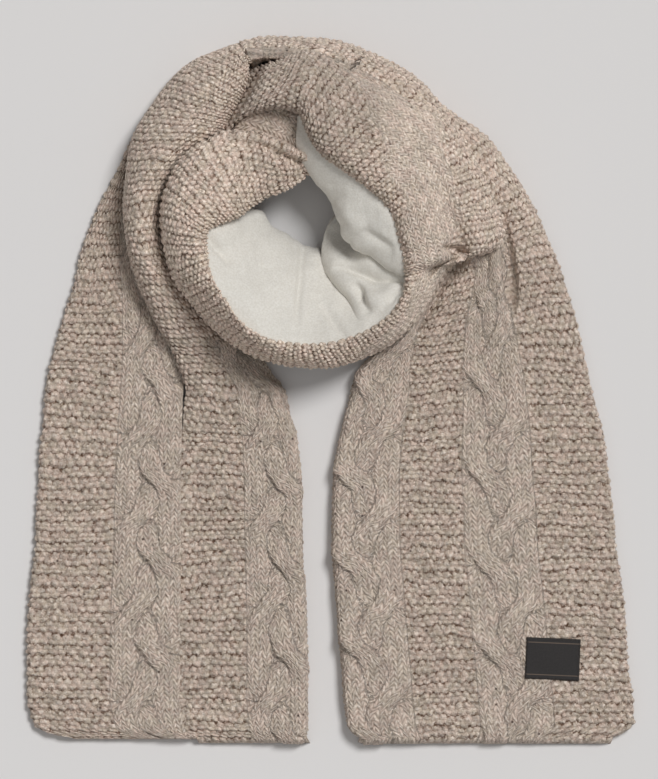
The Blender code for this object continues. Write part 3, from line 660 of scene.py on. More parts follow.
def grid_mesh(name, points, u, v, attributes, material):
    """A grid of points in millimetres as a smooth mesh of quads facing the side that its
    normals face, with a UV map of stitch and row numbers and float attributes."""
    shape = points.shape[:2]
    ids = np.arange(shape[0] * shape[1]).reshape(shape)
    quads = np.stack([ids[:-1, :-1], ids[:-1, 1:], ids[1:, 1:], ids[1:, :-1]], axis=-1).reshape(-1, 4)
    along = points[1:, :-1] - points[:-1, :-1]
    across = points[:-1, 1:] - points[:-1, :-1]
    if np.cross(across, along)[..., 2].mean() < 0:
        quads = quads[:, ::-1]
    mesh = bpy.data.meshes.new(name)
    mesh.vertices.add(ids.size)
    mesh.vertices.foreach_set("co", to_world(points).astype(np.float32).ravel())
    mesh.loops.add(quads.size)
    mesh.loops.foreach_set("vertex_index", quads.astype(np.int32).ravel())
    mesh.polygons.add(len(quads))
    mesh.polygons.foreach_set("loop_start", np.arange(0, quads.size, 4, dtype=np.int32))
    mesh.update(calc_edges=True)
    mesh.validate()
    mesh.shade_smooth()
    pair = np.stack([np.broadcast_to(u, shape), np.broadcast_to(v, shape)], axis=-1)
    uv = pair.reshape(-1, 2)[quads.ravel()].astype(np.float32)
    mesh.uv_layers.new(name="yarn").data.foreach_set("uv", uv.ravel())
    for key, value in attributes.items():
        layer = mesh.attributes.new(key, "FLOAT", "POINT")
        layer.data.foreach_set("value", np.broadcast_to(value, shape).astype(np.float32).ravel())
    mesh.materials.append(material)
    piece = bpy.data.objects.new(name, mesh)
    bpy.context.scene.collection.objects.link(piece)
    return piece


def dress(piece, slot, *nodes):
    """Put a piece in place of its solids."""
    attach(piece, "root")
    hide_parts(*nodes)


# ---- stretches


HEM_ROWS = 8
HEM_REACH = 5.0  # how far a hem is rounded off, mm
HEM_TURN = math.radians(92)
EDGE_DROP = 1.3  # how much flatter the knit is where it stands upright, mm
TABLE_GAP = 0.2  # least height over the table, mm


def hem_rows(points):
    """Round the hem off: rows ahead of the first that move outwards as a sine and down as a
    cosine."""
    ahead = points[0] - points[3]
    ahead[:, 2] = 0
    ahead = ahead.mean(axis=0)
    ahead /= np.linalg.norm(ahead)
    turn = np.linspace(0, HEM_TURN, HEM_ROWS + 1)[1:][::-1]
    extra = points[0][None].repeat(HEM_ROWS, axis=0)
    extra += ahead * (HEM_REACH * np.sin(turn))[:, None, None]
    extra[..., 2] *= np.clip(np.cos(turn), 0.03, 1)[:, None]
    return np.concatenate([extra, points], axis=0)


def knitted(name, nodes, points, made, yarn, seed, folds=(), seam=1.0, hemmed=False, stretched=0.0):
    """The mesh of a stretch: its base points moved out along their normals by its knit, which
    is faded at a seam, its slow unevenness and its creases, and kept above the table."""
    normals = normals_of(points)
    slow = 0.5 * waves(points[..., 0], points[..., 1], seed, 60) + crease(points, folds)
    slow = slow - EDGE_DROP * (1 - np.abs(normals[..., 2]))
    points = points + normals * (made.relief * seam + slow)[..., None]
    points[..., 2] = np.maximum(points[..., 2], TABLE_GAP)
    v = made.row
    # The last layer is painted light and shade: a factor on the yarn's colour for each row
    layers = made.stitch, made.plain, np.broadcast_to(stretched, v.shape)
    if hemmed:
        points = hem_rows(points)
        v = np.concatenate([v[0] + np.arange(-HEM_ROWS, 0)[:, None] / sizes().steps, v])
        layers = (np.concatenate([x[:1].repeat(HEM_ROWS, axis=0), x]) for x in layers)
    stitch, kind, stretched = layers
    values = {"plain": kind, "stretched": stretched}
    dress(grid_mesh(name, points, stitch, v, values, yarn), "knit", *nodes)


def lay(table, spine, run, **rims):
    """Table rows at distances along the spine, their dense sections and the distance run
    along each section."""
    rows = read_table(table, spine, run)
    dense = sections(rows, **rims)
    return rows, dense, arc_of(dense)


def stitches(*spans):
    """Stitch numbers of the mesh columns: first, last and columns for each stitch."""
    return np.concatenate([np.arange(first, last, 1 / columns) for first, last, columns in spans])


def marks_of(arc, rolled, first, shares, last):
    """Stitch numbers with the distance along each section where they lie: the first at its
    start, the last at its end, and the others at shares of its width."""
    inside = [(number, at_share(arc, share, rolled)) for number, share in shares]
    return [(first, np.zeros(len(arc))), *inside, (last, arc[:, -1])]


def lay_columns(marks, columns):
    """Distances along the sections where the stitch numbers lie: straight between marks."""
    numbers = np.array([number for number, place in marks], float)
    places = np.stack([place for number, place in marks], axis=1)
    order = np.clip(np.searchsorted(numbers, columns, side="right") - 1, 0, len(numbers) - 2)
    share = (columns - numbers[order]) / (numbers[order + 1] - numbers[order])
    return places[:, order] + (places[:, order + 1] - places[:, order]) * share


def stitch_number(target, marks):
    """Stitch numbers at distances along the sections: straight between marks."""
    number = np.full(target.shape, float(marks[0][0]))
    for (low, start), (high, stop) in zip(marks[:-1], marks[1:]):
        span = np.maximum(stop - start, 1e-3)[:, None]
        number += (high - low) * np.clip((target - start[:, None]) / span, 0, 1)
    return number


def row_numbers(run, row, shape):
    """Row numbers of a grid of points."""
    return np.broadcast_to((run / row)[:, None], shape)


def selvedge(u, v):
    """The braid along the outer edge of an end."""
    return 0.9 * edge_braid((34.6 - u) * STITCH, v, 5.0)


PHASE_LEFT = -16.2  # where the plaits start in their repeat, mm
PHASE_RIGHT = 50.5
AT_ROLL = 0.004  # share of the width at which the turned edge ends
AT_RIM = 0.998


def left_half(table, spine, columns, first, shares, last, **rims):
    """Distances run, base points and stitch and row numbers of one half of the left end."""
    size = sizes()
    run = even_steps(0, length_of(table, spine), size.row / size.steps)
    _, dense, arc = lay(table, spine, run, **rims)
    marks = marks_of(arc, "roll_in" in rims, first, shares, last)
    points = place_on(dense, arc, lay_columns(marks, columns))
    shape = points.shape[:2]
    return run, points, np.broadcast_to(columns, shape), row_numbers(run, size.row, shape)


RISE = 290  # where the left end rises, mm from its hem


def build_left_inner(yarn):
    """The inner half of the left end and the stretch that rises from it over the top: the
    plait stops where it rises, and a plain line ends it at the outer edge."""
    columns = np.append(stitches((-3, 0, 7), (0, 9, 6), (9, 17, 7)), 17.0)
    run, points, u, v = left_half(
        LEFT_INNER, 1.0, columns, -3, ((0, AT_ROLL), (9, 0.475)), 17, roll_in=5.0, edge_in=6.5)
    cable = between(u, 0, 9) * smooth((RISE + 10 - run) / 10)[:, None]
    line = between(u, 15.6, 17.5, 0.6) * smooth((run - RISE + 5) / 20)[:, None]
    zones = [(cable, "plait", 0, 9, -1, PHASE_LEFT), (line, "plain"), (1 - cable - line, "garter")]
    # Painted light: the stretch's colour is lightened from where it rises
    knitted(
        "left_end_inner", ("left_rise", "tail_left"), points, knit(u, v, zones, 3), yarn, 5,
        FOLDS_LEFT, smooth((17 - u) / 0.35), True, smooth((run - RISE) / 90)[:, None])


def build_left_outer(yarn):
    """The outer half of the left end, which runs on beneath the rising stretch."""
    columns = stitches((17, 26, 6), (26, 35, 7), (35, 36.5, 7))
    _, points, u, v = left_half(
        LEFT_OUTER, 0.0, columns, 17, ((26, 0.45), (35, AT_RIM)), 36.5, roll_out=3.0, edge_out=4.5)
    cable = between(u, 17, 26)
    zones = [(cable, "plait", 17, 26, -1, PHASE_LEFT), (1 - cable, "garter")]
    knitted(
        "left_end_outer", ("left_under", "tail_left"), points, knit(u, v, zones, 7, selvedge(u, v)),
        yarn, 5, FOLDS_LEFT, smooth((u - 17) / 0.35), True)


# Piece and node, where it starts and stops along the spine, the share of its width that the
# ring hides, and its step across (none where the columns follow the stitches), mm
RIGHT_CUTS = (
    ("right_end", "tail_right", 0, 288, 0, None),
    ("right_rise_low", "right_rise", 288, 392, 0, 0.9),
    ("right_rise_high", "right_rise", 392, None, 0.38, 0.85),
)
UNCOVERED = 480  # where the right end starts to come out from beneath the ring, mm
# Stitch number, and its share of the width where the end is flat, where it rises and on top
RIGHT_PANELS = ((9, 0.24, 0.12, 0.01), (17, 0.47, 0.39, 0.10), (26, 0.72, 0.64, 0.52))


def right_marks(rows, arc):
    """Where the stitches of the right end lie: the panels narrow as it rises, and the inner
    ones go beneath the ring one after the other."""
    low, high = smooth(rows[:, 1] / 60), smooth((rows[:, 1] - 70) / 60)
    panels = [(n, flat + (rise - flat) * low + (top - rise) * high) for n, flat, rise, top in RIGHT_PANELS]
    return marks_of(arc, True, -3, [(0, AT_ROLL), *panels, (35, AT_RIM)], 36.5)


def build_right(yarn):
    """The right end from its hem, and the stretch that rises from it over the top."""
    size = sizes()
    rims = dict(roll_in=5.0, roll_out=3.0, edge_in=6.5, edge_out=4.5, pleat_at=0.655, pleat_wide=0.03)
    for name, solid, start, stop, hidden, step in RIGHT_CUTS:
        run = even_steps(start, stop or length_of(RIGHT, 0.5), size.row / size.steps)
        rows, dense, arc = lay(RIGHT, 0.5, run, **rims)
        marks = right_marks(rows, arc)
        if step is None:
            columns = stitches((-3, 0, 7), (0, 9, 6), (9, 17, 6.5), (17, 26, 6), (26, 35, 7), (35, 36.5, 7))
            target = lay_columns(marks, columns)
            u = np.broadcast_to(columns, target.shape)
        else:
            begin = hidden * (1 - smooth((run - UNCOVERED) / 50))
            first = np.where(begin > AT_ROLL, at_share(arc, begin, True), 0.0)
            width = arc[:, -1] - first
            share = np.linspace(0, 1, int(round(np.median(width) / step)) + 1)
            target = first[:, None] + width[:, None] * share
            u = stitch_number(target, marks)
        points = place_on(dense, arc, target)
        v = row_numbers(run, size.row, u.shape)
        inner, outer = between(u, 0, 9), between(u, 17, 26)
        rest = 1 - inner - outer
        tight = np.clip(crease(points, TIGHT), 0, 1)
        zones = [
            (inner, "plait", 0, 9, 1, PHASE_RIGHT), (outer, "plait", 17, 26, 1, PHASE_RIGHT),
            (rest * (1 - tight), "garter"), (rest * tight, "plain")]
        # Painted light: the rising stretch's colour is lightened from 300 mm on
        knitted(
            name, (solid,), points, knit(u, v, zones, 11, selvedge(u, v)), yarn, 9,
            FOLDS_RIGHT, 1 - 0.8 * tight, start == 0, 0.8 * smooth((run - 300) / 120)[:, None])


# Table rows: where the back turn becomes the front turn, between which the edge along the
# hole is coarse, where the plain finish of the last rows starts, and from where painted
# light brightens the knit's colour once and twice more
RING_JOINT, COARSE_ROWS, FINISH_ROW, PAINTED_LIGHTING_ROWS = 19, (13, 27), 38, (8, 24)
RING_STITCH = 4.8  # mm
# Table row and width of the garter panel along the neck hole, mm
RING_GARTER = (
    (0, 90), (6, 90), (12, 24), (15, 14), (19, 14), (22, 20), (24, 30), (27, 60), (30, 90), (43, 90))


def build_ring(yarn):
    """The two turns of cloth round the neck hole, which run into each other at the right.
    Garter borders a band of plain knit, and both edges are braided, coarsely at the front."""
    size = sizes()
    at_row = run_along(RING, 0.5)[1]

    def past(row, wide):
        """0 up to a table row and 1 past it, with a soft step of the given length."""
        return smooth((run - at_row[row]) / wide)[:, None]

    for name, node, start, stop in (
        ("neck_turn_back", "neck_back", 0, at_row[RING_JOINT]),
        ("neck_turn_front", "neck_front", at_row[RING_JOINT], at_row[-1]),
    ):
        run = even_steps(start, stop, size.neck_row / size.steps)
        _, dense, arc = lay(RING, 0.5, run, roll_in=4.0, roll_out=3.5, pleat_at=0.55)
        length = arc[:, -1:]
        count = int(round(np.percentile(length, 70) / 0.85))
        target = length * np.linspace(0, 1, count + 1)
        v = row_numbers(run, size.neck_row, target.shape)
        rows, widths = zip(*RING_GARTER)
        border = np.interp(run, at_row[list(rows)], widths)[:, None] + 6
        border = border + 5 * waves(run[:, None], target, 51, 40)
        in_garter = smooth((border - target) / 9 + 0.5)
        in_garter = np.maximum(in_garter, smooth((target - border - 46) / 9 + 0.5))
        made = knit(target / RING_STITCH, v, [(in_garter, "garter"), (1 - in_garter, "plain")], 17)
        coarse = past(COARSE_ROWS[0], 20) * (1 - past(COARSE_ROWS[1], 30))
        finish = past(FINISH_ROW, 15)
        calm = 1 - 0.6 * coarse * smooth((18 - target) / 5)
        relief = 1.15 * made.relief * calm
        relief += (1.0 + 1.6 * coarse) * edge_braid(target - 8, v, 6.5)
        relief += (0.9 + 1.6 * finish) * edge_braid(length - target - 8, v, 6.5)
        # Painted light and shade: the colour is lighter past the given rows, and darker at the start and over
        # the finish rows
        stretched = 1.3 * past(PAINTED_LIGHTING_ROWS[0], 40) + 0.5 * past(PAINTED_LIGHTING_ROWS[1], 40)
        stretched = stretched - 0.3 - 0.7 * finish
        knitted(
            name, (node,), place_on(dense, arc, target), made._replace(relief=relief), yarn, 13,
            FOLDS_RING, stretched=stretched)


def build_tuck(yarn):
    """The flatter stretch that goes down into the ring behind the front turn: straight
    between its edges, with a parabola for its arch."""
    run = even_steps(0, length_of(TUCK, 0.5), 0.8, math.floor)
    rows = read_table(TUCK, 0.5, run)
    share = np.linspace(0, 1, 46)[None, :, None]
    points = rows[:, None, 0:3] + (rows[:, None, 3:6] - rows[:, None, 0:3]) * share
    points[..., 2] += rows[:, 6:7] * 4 * share[..., 0] * (1 - share[..., 0])
    width = np.linalg.norm(rows[:, 3:5] - rows[:, 0:2], axis=1)[:, None]
    u = share[..., 0] * width / 6.2
    v = row_numbers(run, sizes().row, u.shape)
    made = knit(u, v, [(np.ones(u.shape), "plain")], 23)
    knitted("neck_tuck_knit", ("neck_tuck",), points, made, yarn, 25)


def build_hidden(yarn):
    """The folded layers beneath the ring, as one rounded roll with knit on it: its sections
    reach a half width to both sides of the path, and further into the neck hole."""
    path = np.array(HIDDEN_PATH, float)
    ahead = np.gradient(path[:, 0:2], axis=0)
    ahead /= np.linalg.norm(ahead, axis=1, keepdims=True)
    side = np.stack([-ahead[:, 1], ahead[:, 0]], axis=1)
    rows = np.zeros((len(path), 10))
    rows[:, 0:2] = path[:, 0:2] + side * path[:, 2:3]
    rows[:, 3:5] = path[:, 0:2] - side * (path[:, 2:3] + path[:, 4:5])
    rows[:, 7], rows[:, 8] = path[:, 3], path[:, 5]
    run = even_steps(0, length_of(rows, 0.5), 1.6, math.floor)
    _, dense, arc = lay(rows, 0.5, run, edge_in=14.0, edge_out=14.0)
    target = arc[:, -1:] * np.linspace(0, 1, 70)
    v = row_numbers(run, sizes().row, target.shape)
    made = knit(target / STITCH, v, [(np.ones(v.shape), "garter")], 61)
    knitted("under_layers", ("hidden_folds",), place_on(dense, arc, target), made, yarn, 63)


LABEL_PLACE = np.array([160.5, -195.5])
LABEL_TURN = math.radians(-2.5)
LABEL_HALF = np.array([19.5, 15.0])
LABEL_RIM = 0.9  # width of its turned edge
STITCHED_HALF = (18.3, 13.8)  # half width and height of the stitched border
THREAD = 0.22  # half thickness of the thread
THREAD_STITCH = 3.0


def on_label(u, v, raised):
    """Points from places on the label: turned, moved to its place, and laid on the knit,
    which the label follows slowly."""
    x = LABEL_PLACE[0] + u * math.cos(LABEL_TURN) - v * math.sin(LABEL_TURN)
    y = LABEL_PLACE[1] + u * math.sin(LABEL_TURN) + v * math.cos(LABEL_TURN)
    z = 12.3 - 0.034 * (x - 160) + 0.35 * waves(x, y, 71, 30)
    return np.stack([x, y, z + raised], axis=-1)


def build_label(woven, thread):
    """A woven patch whose edges turn down as a quarter ellipse, and a running stitch along
    its border: a ring of points carried along a rectangle, up and down as a sine."""
    across = np.sin(np.linspace(-1, 1, 80) * math.pi / 2)[None, :]
    down = np.sin(np.linspace(-1, 1, 62) * math.pi / 2)[:, None]
    u, v = np.broadcast_arrays(across * LABEL_HALF[0], down * LABEL_HALF[1])
    near = np.minimum(LABEL_HALF[0] - np.abs(u), LABEL_HALF[1] - np.abs(v))
    points = on_label(u, v, -2.2 * (1 - rounded(near, LABEL_RIM)))
    wide, high = LABEL_HALF * 2
    dress(grid_mesh("label_patch", points, u / wide + 0.5, v / high + 0.5, {}, woven), "label", "label")
    t = np.linspace(0, 4, 1401)
    side = np.minimum(t.astype(int), 3)
    corners = np.array([(-1, -1), (1, -1), (1, 1), (-1, 1), (-1, -1)]) * STITCHED_HALF
    line = corners[side] + (corners[side + 1] - corners[side]) * (t - side)[:, None]
    run = np.concatenate([[0], np.cumsum(np.linalg.norm(np.diff(line, axis=0), axis=1))])
    path = on_label(line[:, 0], line[:, 1], 0.35 * np.sin(2 * math.pi * run / THREAD_STITCH))
    ahead = np.gradient(path, axis=0)
    ahead /= np.linalg.norm(ahead, axis=1, keepdims=True)
    beside = np.cross(ahead, [0, 0, 1.0])
    turn = np.linspace(0, 2 * math.pi, 9)
    ring = beside[:, None] * np.cos(turn)[:, None] + np.cross(beside, ahead)[:, None] * np.sin(turn)[:, None]
    seam = grid_mesh(
        "label_stitching", path[:, None] + THREAD * ring, turn[None, :], run[:, None], {}, thread)
    dress(seam, "label", "label")


# Piece, table, node, depth of its uneven folds in mm and seed
LININGS = (
    ("fleece_front", LINING_FRONT, "lining_front", 0.9, 31),
    ("fleece_folds", LINING_FOLDS, "lining_folds", 1.5, 37),
    ("fleece_back", LINING_BACK, "lining_back", 1.0, 41),
)


def build_lining(fleece):
    """The fleece that shows in the neck hole: sheets between two edges, each with a soft
    belly and uneven folds across it that fade in from its inner edge."""
    for name, table, solid, fold, seed in LININGS:
        run = even_steps(0, length_of(table, 0.5), 1.1, math.floor)
        _, dense, arc = lay(table, 0.5, run, roll_out=2.2)
        target = arc[:, -1:] * np.linspace(0, 1, 84)
        points = place_on(dense, arc, target)
        x, y = points[..., 0], points[..., 1]
        soft = fold * waves(x, y, seed, 34) + 0.2 * waves(x, y, seed + 1, 9) + crease(points, FOLDS_FLEECE)
        points = points + normals_of(points) * (soft * smooth(target / 8))[..., None]
        dress(grid_mesh(name, points, target, run[:, None], {}, fleece), "fleece", solid)


# ---- materials


def linear(colour):
    """sRGB 0..255 to linear 0..1, with an alpha of 1."""
    c = np.array(colour) / 255
    return tuple(np.where(c <= 0.04045, c / 12.92, ((c + 0.055) / 1.055) ** 2.4)) + (1.0,)


class Finish:
    """A material in the making.  A value on an input is a number, a colour as its sRGB values
    0..255 or the name of its setting, or the output of another node."""

    def __init__(self, name):
        self.material = bpy.data.materials.new(name)
        self.material.use_nodes = True
        self.tree = self.material.node_tree

    def put(self, node, inputs):
        for socket, value in inputs.items():
            if isinstance(value, bpy.types.NodeSocket):
                self.tree.links.new(value, node.inputs[socket])
                continue
            if isinstance(value, str):
                value = tuple(np.array(getattr(bpy.context.scene.scarf_colours, value)) * 255)
            node.inputs[socket].default_value = linear(value) if isinstance(value, tuple) else value

    def node(self, kind, inputs, **values):
        """Add a node."""
        made = self.tree.nodes.new(kind)
        for key, value in values.items():
            setattr(made, key, value)
        self.put(made, inputs)
        return made

    def place(self):
        """Object coordinates."""
        return self.node("ShaderNodeTexCoord", {}).outputs["Object"]

    def yarn_map(self):
        """The two numbers of the piece's own map."""
        where = self.node("ShaderNodeUVMap", {}, uv_map="yarn").outputs[0]
        return self.node("ShaderNodeSeparateXYZ", {0: where}).outputs[0:2]

    def attribute(self, name):
        return self.node("ShaderNodeAttribute", {}, attribute_name=name).outputs["Fac"]

    def math(self, operation, *values):
        return self.node("ShaderNodeMath", dict(enumerate(values)), operation=operation).outputs[0]

    def mix(self, kind, factor, a, b):
        """Two colours, blended by the factor."""
        inputs = {0: factor, 6: a, 7: b}
        return self.node("ShaderNodeMix", inputs, data_type="RGBA", blend_type=kind).outputs[2]

    def noise(self, vector, scale, detail=2.0):
        inputs = {"Vector": vector, "Scale": scale, "Detail": detail}
        return self.node("ShaderNodeTexNoise", inputs).outputs["Fac"]

    def ramp(self, value, low, high):
        """0 at the low value to 1 at the high one."""
        inputs = {"Value": value, "From Min": low, "From Max": high}
        return self.node("ShaderNodeMapRange", inputs, clamp=True).outputs["Result"]

    def bump(self, height, strength, distance):
        inputs = {"Height": height, "Strength": strength, "Distance": distance}
        return self.node("ShaderNodeBump", inputs).outputs["Normal"]

    def shade(self, **inputs):
        """Set the shader's inputs, named with _ for a space, and give the material."""
        shader = self.tree.nodes["Principled BSDF"]
        self.put(shader, {socket.replace("_", " "): value for socket, value in inputs.items()})
        return self.material


def stitch_pattern(m, place, kind):
    """The yarn's own height 0..1 from the stitch and row numbers, which fine noise shifts so
    that the loops are ragged: loops of garter stitch where the knit is not plain, and slanted
    legs where it is.  Also a random number for each stitch."""
    f = m.math
    stitch, row = m.yarn_map()
    ragged = f("MULTIPLY_ADD", kind, -0.42, 0.62)
    shift_u = f("MULTIPLY", f("SUBTRACT", m.noise(place, 620), 0.5), ragged)
    shift_v = f("MULTIPLY", f("SUBTRACT", m.noise(place, 540), 0.5), ragged)
    u = f("ADD", stitch, shift_u)
    v = f("MULTIPLY_ADD", shift_v, 2.0, row)
    within = f("FRACT", f("MULTIPLY", v, 0.5))

    def mound(square):
        away = f("MINIMUM", f("SQRT", square), 1.0)
        return f("COSINE", f("MULTIPLY", away, math.pi / 2))

    def loops(phase, centre, bow, wide, tall):
        beside = f("SUBTRACT", f("FRACT", f("ADD", u, 0.5 - phase)), 0.5)
        square = f("MULTIPLY", beside, beside)
        above = f("SUBTRACT", within, f("MULTIPLY_ADD", square, bow * 4, centre))
        above = f("DIVIDE", above, tall)
        return mound(f("MULTIPLY_ADD", above, above, f("MULTIPLY", square, 1 / wide**2)))

    garter_loops = f("MAXIMUM", *(loops(*line[:5]) for line in LOOPS))
    beside = f("ABSOLUTE", f("SUBTRACT", f("FRACT", u), 0.5))
    slanted = f("SUBTRACT", v, f("MULTIPLY", beside, LEG_SLOPE))
    across = f("MULTIPLY_ADD", f("FRACT", slanted), 2.0, -1.0)
    along = f("MULTIPLY_ADD", beside, 4.0, -1.0)
    square = f("MULTIPLY", f("MULTIPLY", across, across), LEG_ACROSS)
    legs = mound(f("MULTIPLY_ADD", f("MULTIPLY", along, along), LEG_ALONG, square))
    height = m.node("ShaderNodeMix", {0: kind, 2: garter_loops, 3: legs}, data_type="FLOAT")
    parts = {0: f("FLOOR", f("MULTIPLY", u, 2.0)), 1: f("FLOOR", slanted)}
    cell = m.node("ShaderNodeCombineXYZ", parts).outputs[0]
    chance = m.node("ShaderNodeTexWhiteNoise", {"Vector": cell}, noise_dimensions="2D")
    return height.outputs[0], chance.outputs["Value"]


# What the yarn's colour is multiplied by: darkest and lightest stitch, and the painted shade in the gaps
# between loops and deeper in them
STITCH_TONES = (212, 212, 212), (255, 255, 255)
GAP_SHADE_TONE = (164, 143, 128)
DEEP_SHADE_TONE = (140, 118, 103)


def yarn_material():
    """Oatmeal marl: slow warm and grey patches, lighter and darker stitches, fine fibre
    grain, painted shade in the gaps between the loops, painted light and shade over whole
    stretches of the cloth, and sparse brown flecks; bump from the loops and the fibres."""
    m = Finish("knit_oatmeal_marl")
    f, place, kind = m.math, m.place(), m.attribute("plain")
    height, chance = stitch_pattern(m, place, kind)
    patches = m.ramp(m.noise(place, 110), 0.42, 0.58)
    base = m.mix("MIX", patches, "yarn_warm", "yarn_grey")
    base = m.mix("MIX", m.ramp(m.noise(place, 520, 3), 0.45, 0.68), base, "yarn_light")
    dark = f("MULTIPLY", m.ramp(m.noise(place, 430, 3), 0.54, 0.72), 0.7)
    base = m.mix("MIX", dark, base, "yarn_dark")
    base = m.mix("MULTIPLY", 1.0, base, m.mix("MIX", chance, *STITCH_TONES))
    # Painted shade: the colour darkens where the loops dip into the gaps between them, more deeply in the
    # hollows, broken up by noise and weaker on plain knit
    gap_shade_amount = f("MULTIPLY_ADD", m.ramp(m.noise(place, 260), 0.35, 0.65), 0.85, 0.25)
    gap_shade_amount = f("MULTIPLY", gap_shade_amount, f("MULTIPLY_ADD", kind, -0.5, 1.0))
    gap = f("MULTIPLY", f("SUBTRACT", 1.0, m.ramp(height, 0.1, 0.7)), gap_shade_amount)
    base = m.mix("MULTIPLY", gap, base, GAP_SHADE_TONE)
    deep_shade = f("MULTIPLY", f("SUBTRACT", 1.0, m.ramp(height, 0.0, 0.3)), gap_shade_amount)
    base = m.mix("MULTIPLY", f("MULTIPLY", deep_shade, 0.7), base, DEEP_SHADE_TONE)
    base = m.mix("MIX", f("MULTIPLY", kind, 0.09), base, "yarn_light")
    # Painted light and shade: the colour is scaled by the stretched attribute
    base = m.mix("MULTIPLY", 1.0, base, f("MULTIPLY_ADD", m.attribute("stretched"), 0.22, 1.03))
    fleck = m.node("ShaderNodeTexVoronoi", {"Scale": 260, "Vector": place})
    pick = m.node("ShaderNodeSeparateColor", {"Color": fleck.outputs["Color"]}).outputs["Red"]
    dot = m.ramp(fleck.outputs["Distance"], 0.34, 0.1)
    base = m.mix("MIX", f("MULTIPLY", dot, m.ramp(pick, 0.975, 0.978)), base, "fleck")
    relief = f("ADD", height, f("MULTIPLY", m.noise(place, 700, 4), 0.9))
    return m.shade(
        Base_Color=base, Roughness=0.92, Sheen_Weight=0.12, Sheen_Roughness=0.6,
        Specular_IOR_Level=0.2, Normal=m.bump(relief, 0.8, 0.001))


def fleece_material():
    """Cream fleece: a fine brushed nap."""
    m = Finish("fleece_cream_nap")
    place = m.place()
    tips = m.ramp(m.noise(place, 700, 3), 0.35, 0.7)
    return m.shade(
        Base_Color=m.mix("MIX", tips, "fleece", "fleece_light"), Roughness=0.95,
        Sheen_Weight=0.3, Specular_IOR_Level=0.15, Normal=m.bump(m.noise(place, 900, 5), 0.5, 0.0008))


WEAVE_LIGHT = (50, 46, 45)
WARP_RIBS, WEFT_RIBS = 78, 60  # over the label's width and height
LINE_PLACE = 0.385  # of each bronze line, in label heights from the middle


def woven_material():
    """Black woven label: fine warp and weft ribs, two thin bronze lines across it."""
    m = Finish("label_woven_black")
    f, (u, v) = m.math, m.yarn_map()
    warp = f("SINE", f("MULTIPLY", u, 2 * math.pi * WARP_RIBS))
    weft = f("SINE", f("MULTIPLY", v, 2 * math.pi * WEFT_RIBS))
    away = f("ABSOLUTE", f("SUBTRACT", f("ABSOLUTE", f("SUBTRACT", v, 0.5)), LINE_PLACE))
    inside = m.ramp(f("ABSOLUTE", f("SUBTRACT", u, 0.5)), 0.49, 0.48)
    line = f("MULTIPLY", f("MULTIPLY", m.ramp(away, 0.014, 0.008), inside), 0.8)
    base = m.mix("MIX", m.noise(m.place(), 900), "label", WEAVE_LIGHT)
    return m.shade(
        Base_Color=m.mix("MIX", line, base, "label_line"), Roughness=0.65,
        Normal=m.bump(f("MULTIPLY", warp, weft), 0.35, 0.0004))


THREAD_TONES = (24, 22, 22), (66, 62, 60)


def thread_material():
    """Black sewing thread with a fine twist."""
    m = Finish("thread_black")
    f, (u, v) = m.math, m.yarn_map()
    twist = m.ramp(f("SINE", f("MULTIPLY_ADD", v, 12.0, f("MULTIPLY", u, 2.0))), -1.0, 1.0)
    return m.shade(Base_Color=m.mix("MIX", twist, *THREAD_TONES), Roughness=0.6)


# ---- stage


FLOOR_HALF = 30.0  # m
FLOOR_DOWN = 0.0002  # how far the floor lies beneath the scarf, m
SUNS = (("key", 18, -22, 23), ("fill", 80, 30, -12))  # name, spread and turns about x and y
SENSOR = 36.0  # mm
SEEN = 0.56088  # length of floor along the longer side of the picture, m
EYE = (-0.00094, -0.00235)  # m


def build_stage():
    """A pale floor, soft light from the top side of the view, and a camera straight above."""
    scene = bpy.context.scene
    stage = scene.scarf_stage
    corners = [(x * FLOOR_HALF, y * FLOOR_HALF, -FLOOR_DOWN) for x, y in ((-1, -1), (1, -1), (1, 1), (-1, 1))]
    mesh = bpy.data.meshes.new("floor")
    mesh.from_pydata(corners, [], [(0, 1, 2, 3)])
    floor = bpy.data.objects.new("floor", mesh)
    scene.collection.objects.link(floor)
    mesh.materials.append(Finish("floor_pale_grey").shade(
        Base_Color=tuple(np.array(stage.floor) * 255), Roughness=0.95, Specular_IOR_Level=0.0))
    world = bpy.data.worlds.new("studio")
    world.use_nodes = True
    background = world.node_tree.nodes["Background"]
    background.inputs["Color"].default_value = (1, 1, 1, 1)
    background.inputs["Strength"].default_value = stage.sky
    scene.world = world
    for name, spread, tilt, lean in SUNS:
        light = bpy.data.lights.new(name, "SUN")
        light.energy = getattr(stage, name)
        light.angle = math.radians(spread)
        lamp = bpy.data.objects.new(name, light)
        lamp.rotation_euler = (math.radians(tilt), math.radians(lean), 0)
        scene.collection.objects.link(lamp)
    camera = bpy.data.cameras.new("camera")
    camera.sensor_fit = "AUTO"
    camera.sensor_width = SENSOR
    camera.lens = SENSOR * stage.camera_height / SEEN
    camera.clip_end = 100
    eye = bpy.data.objects.new("camera", camera)
    eye.location = (*EYE, stage.camera_height)
    scene.collection.objects.link(eye)
    scene.camera = eye
    scene.view_settings.view_transform = "Standard"


# ---- operators


def material_of(name):
    """The named material, made when first asked for."""
    makers = {
        "knit_oatmeal_marl": yarn_material,
        "fleece_cream_nap": fleece_material,
        "label_woven_black": woven_material,
        "thread_black": thread_material,
    }
    return bpy.data.materials.get(name) or makers[name]()


class SCARF_OT_left_end(bpy.types.Operator):
    """Knit the left end, in two halves, and the stretch that rises from it"""

    bl_idname = "scarf.left_end"
    bl_label = "Left end"

    def execute(self, context):
        yarn = material_of("knit_oatmeal_marl")
        build_left_inner(yarn)
        build_left_outer(yarn)
        return {"FINISHED"}


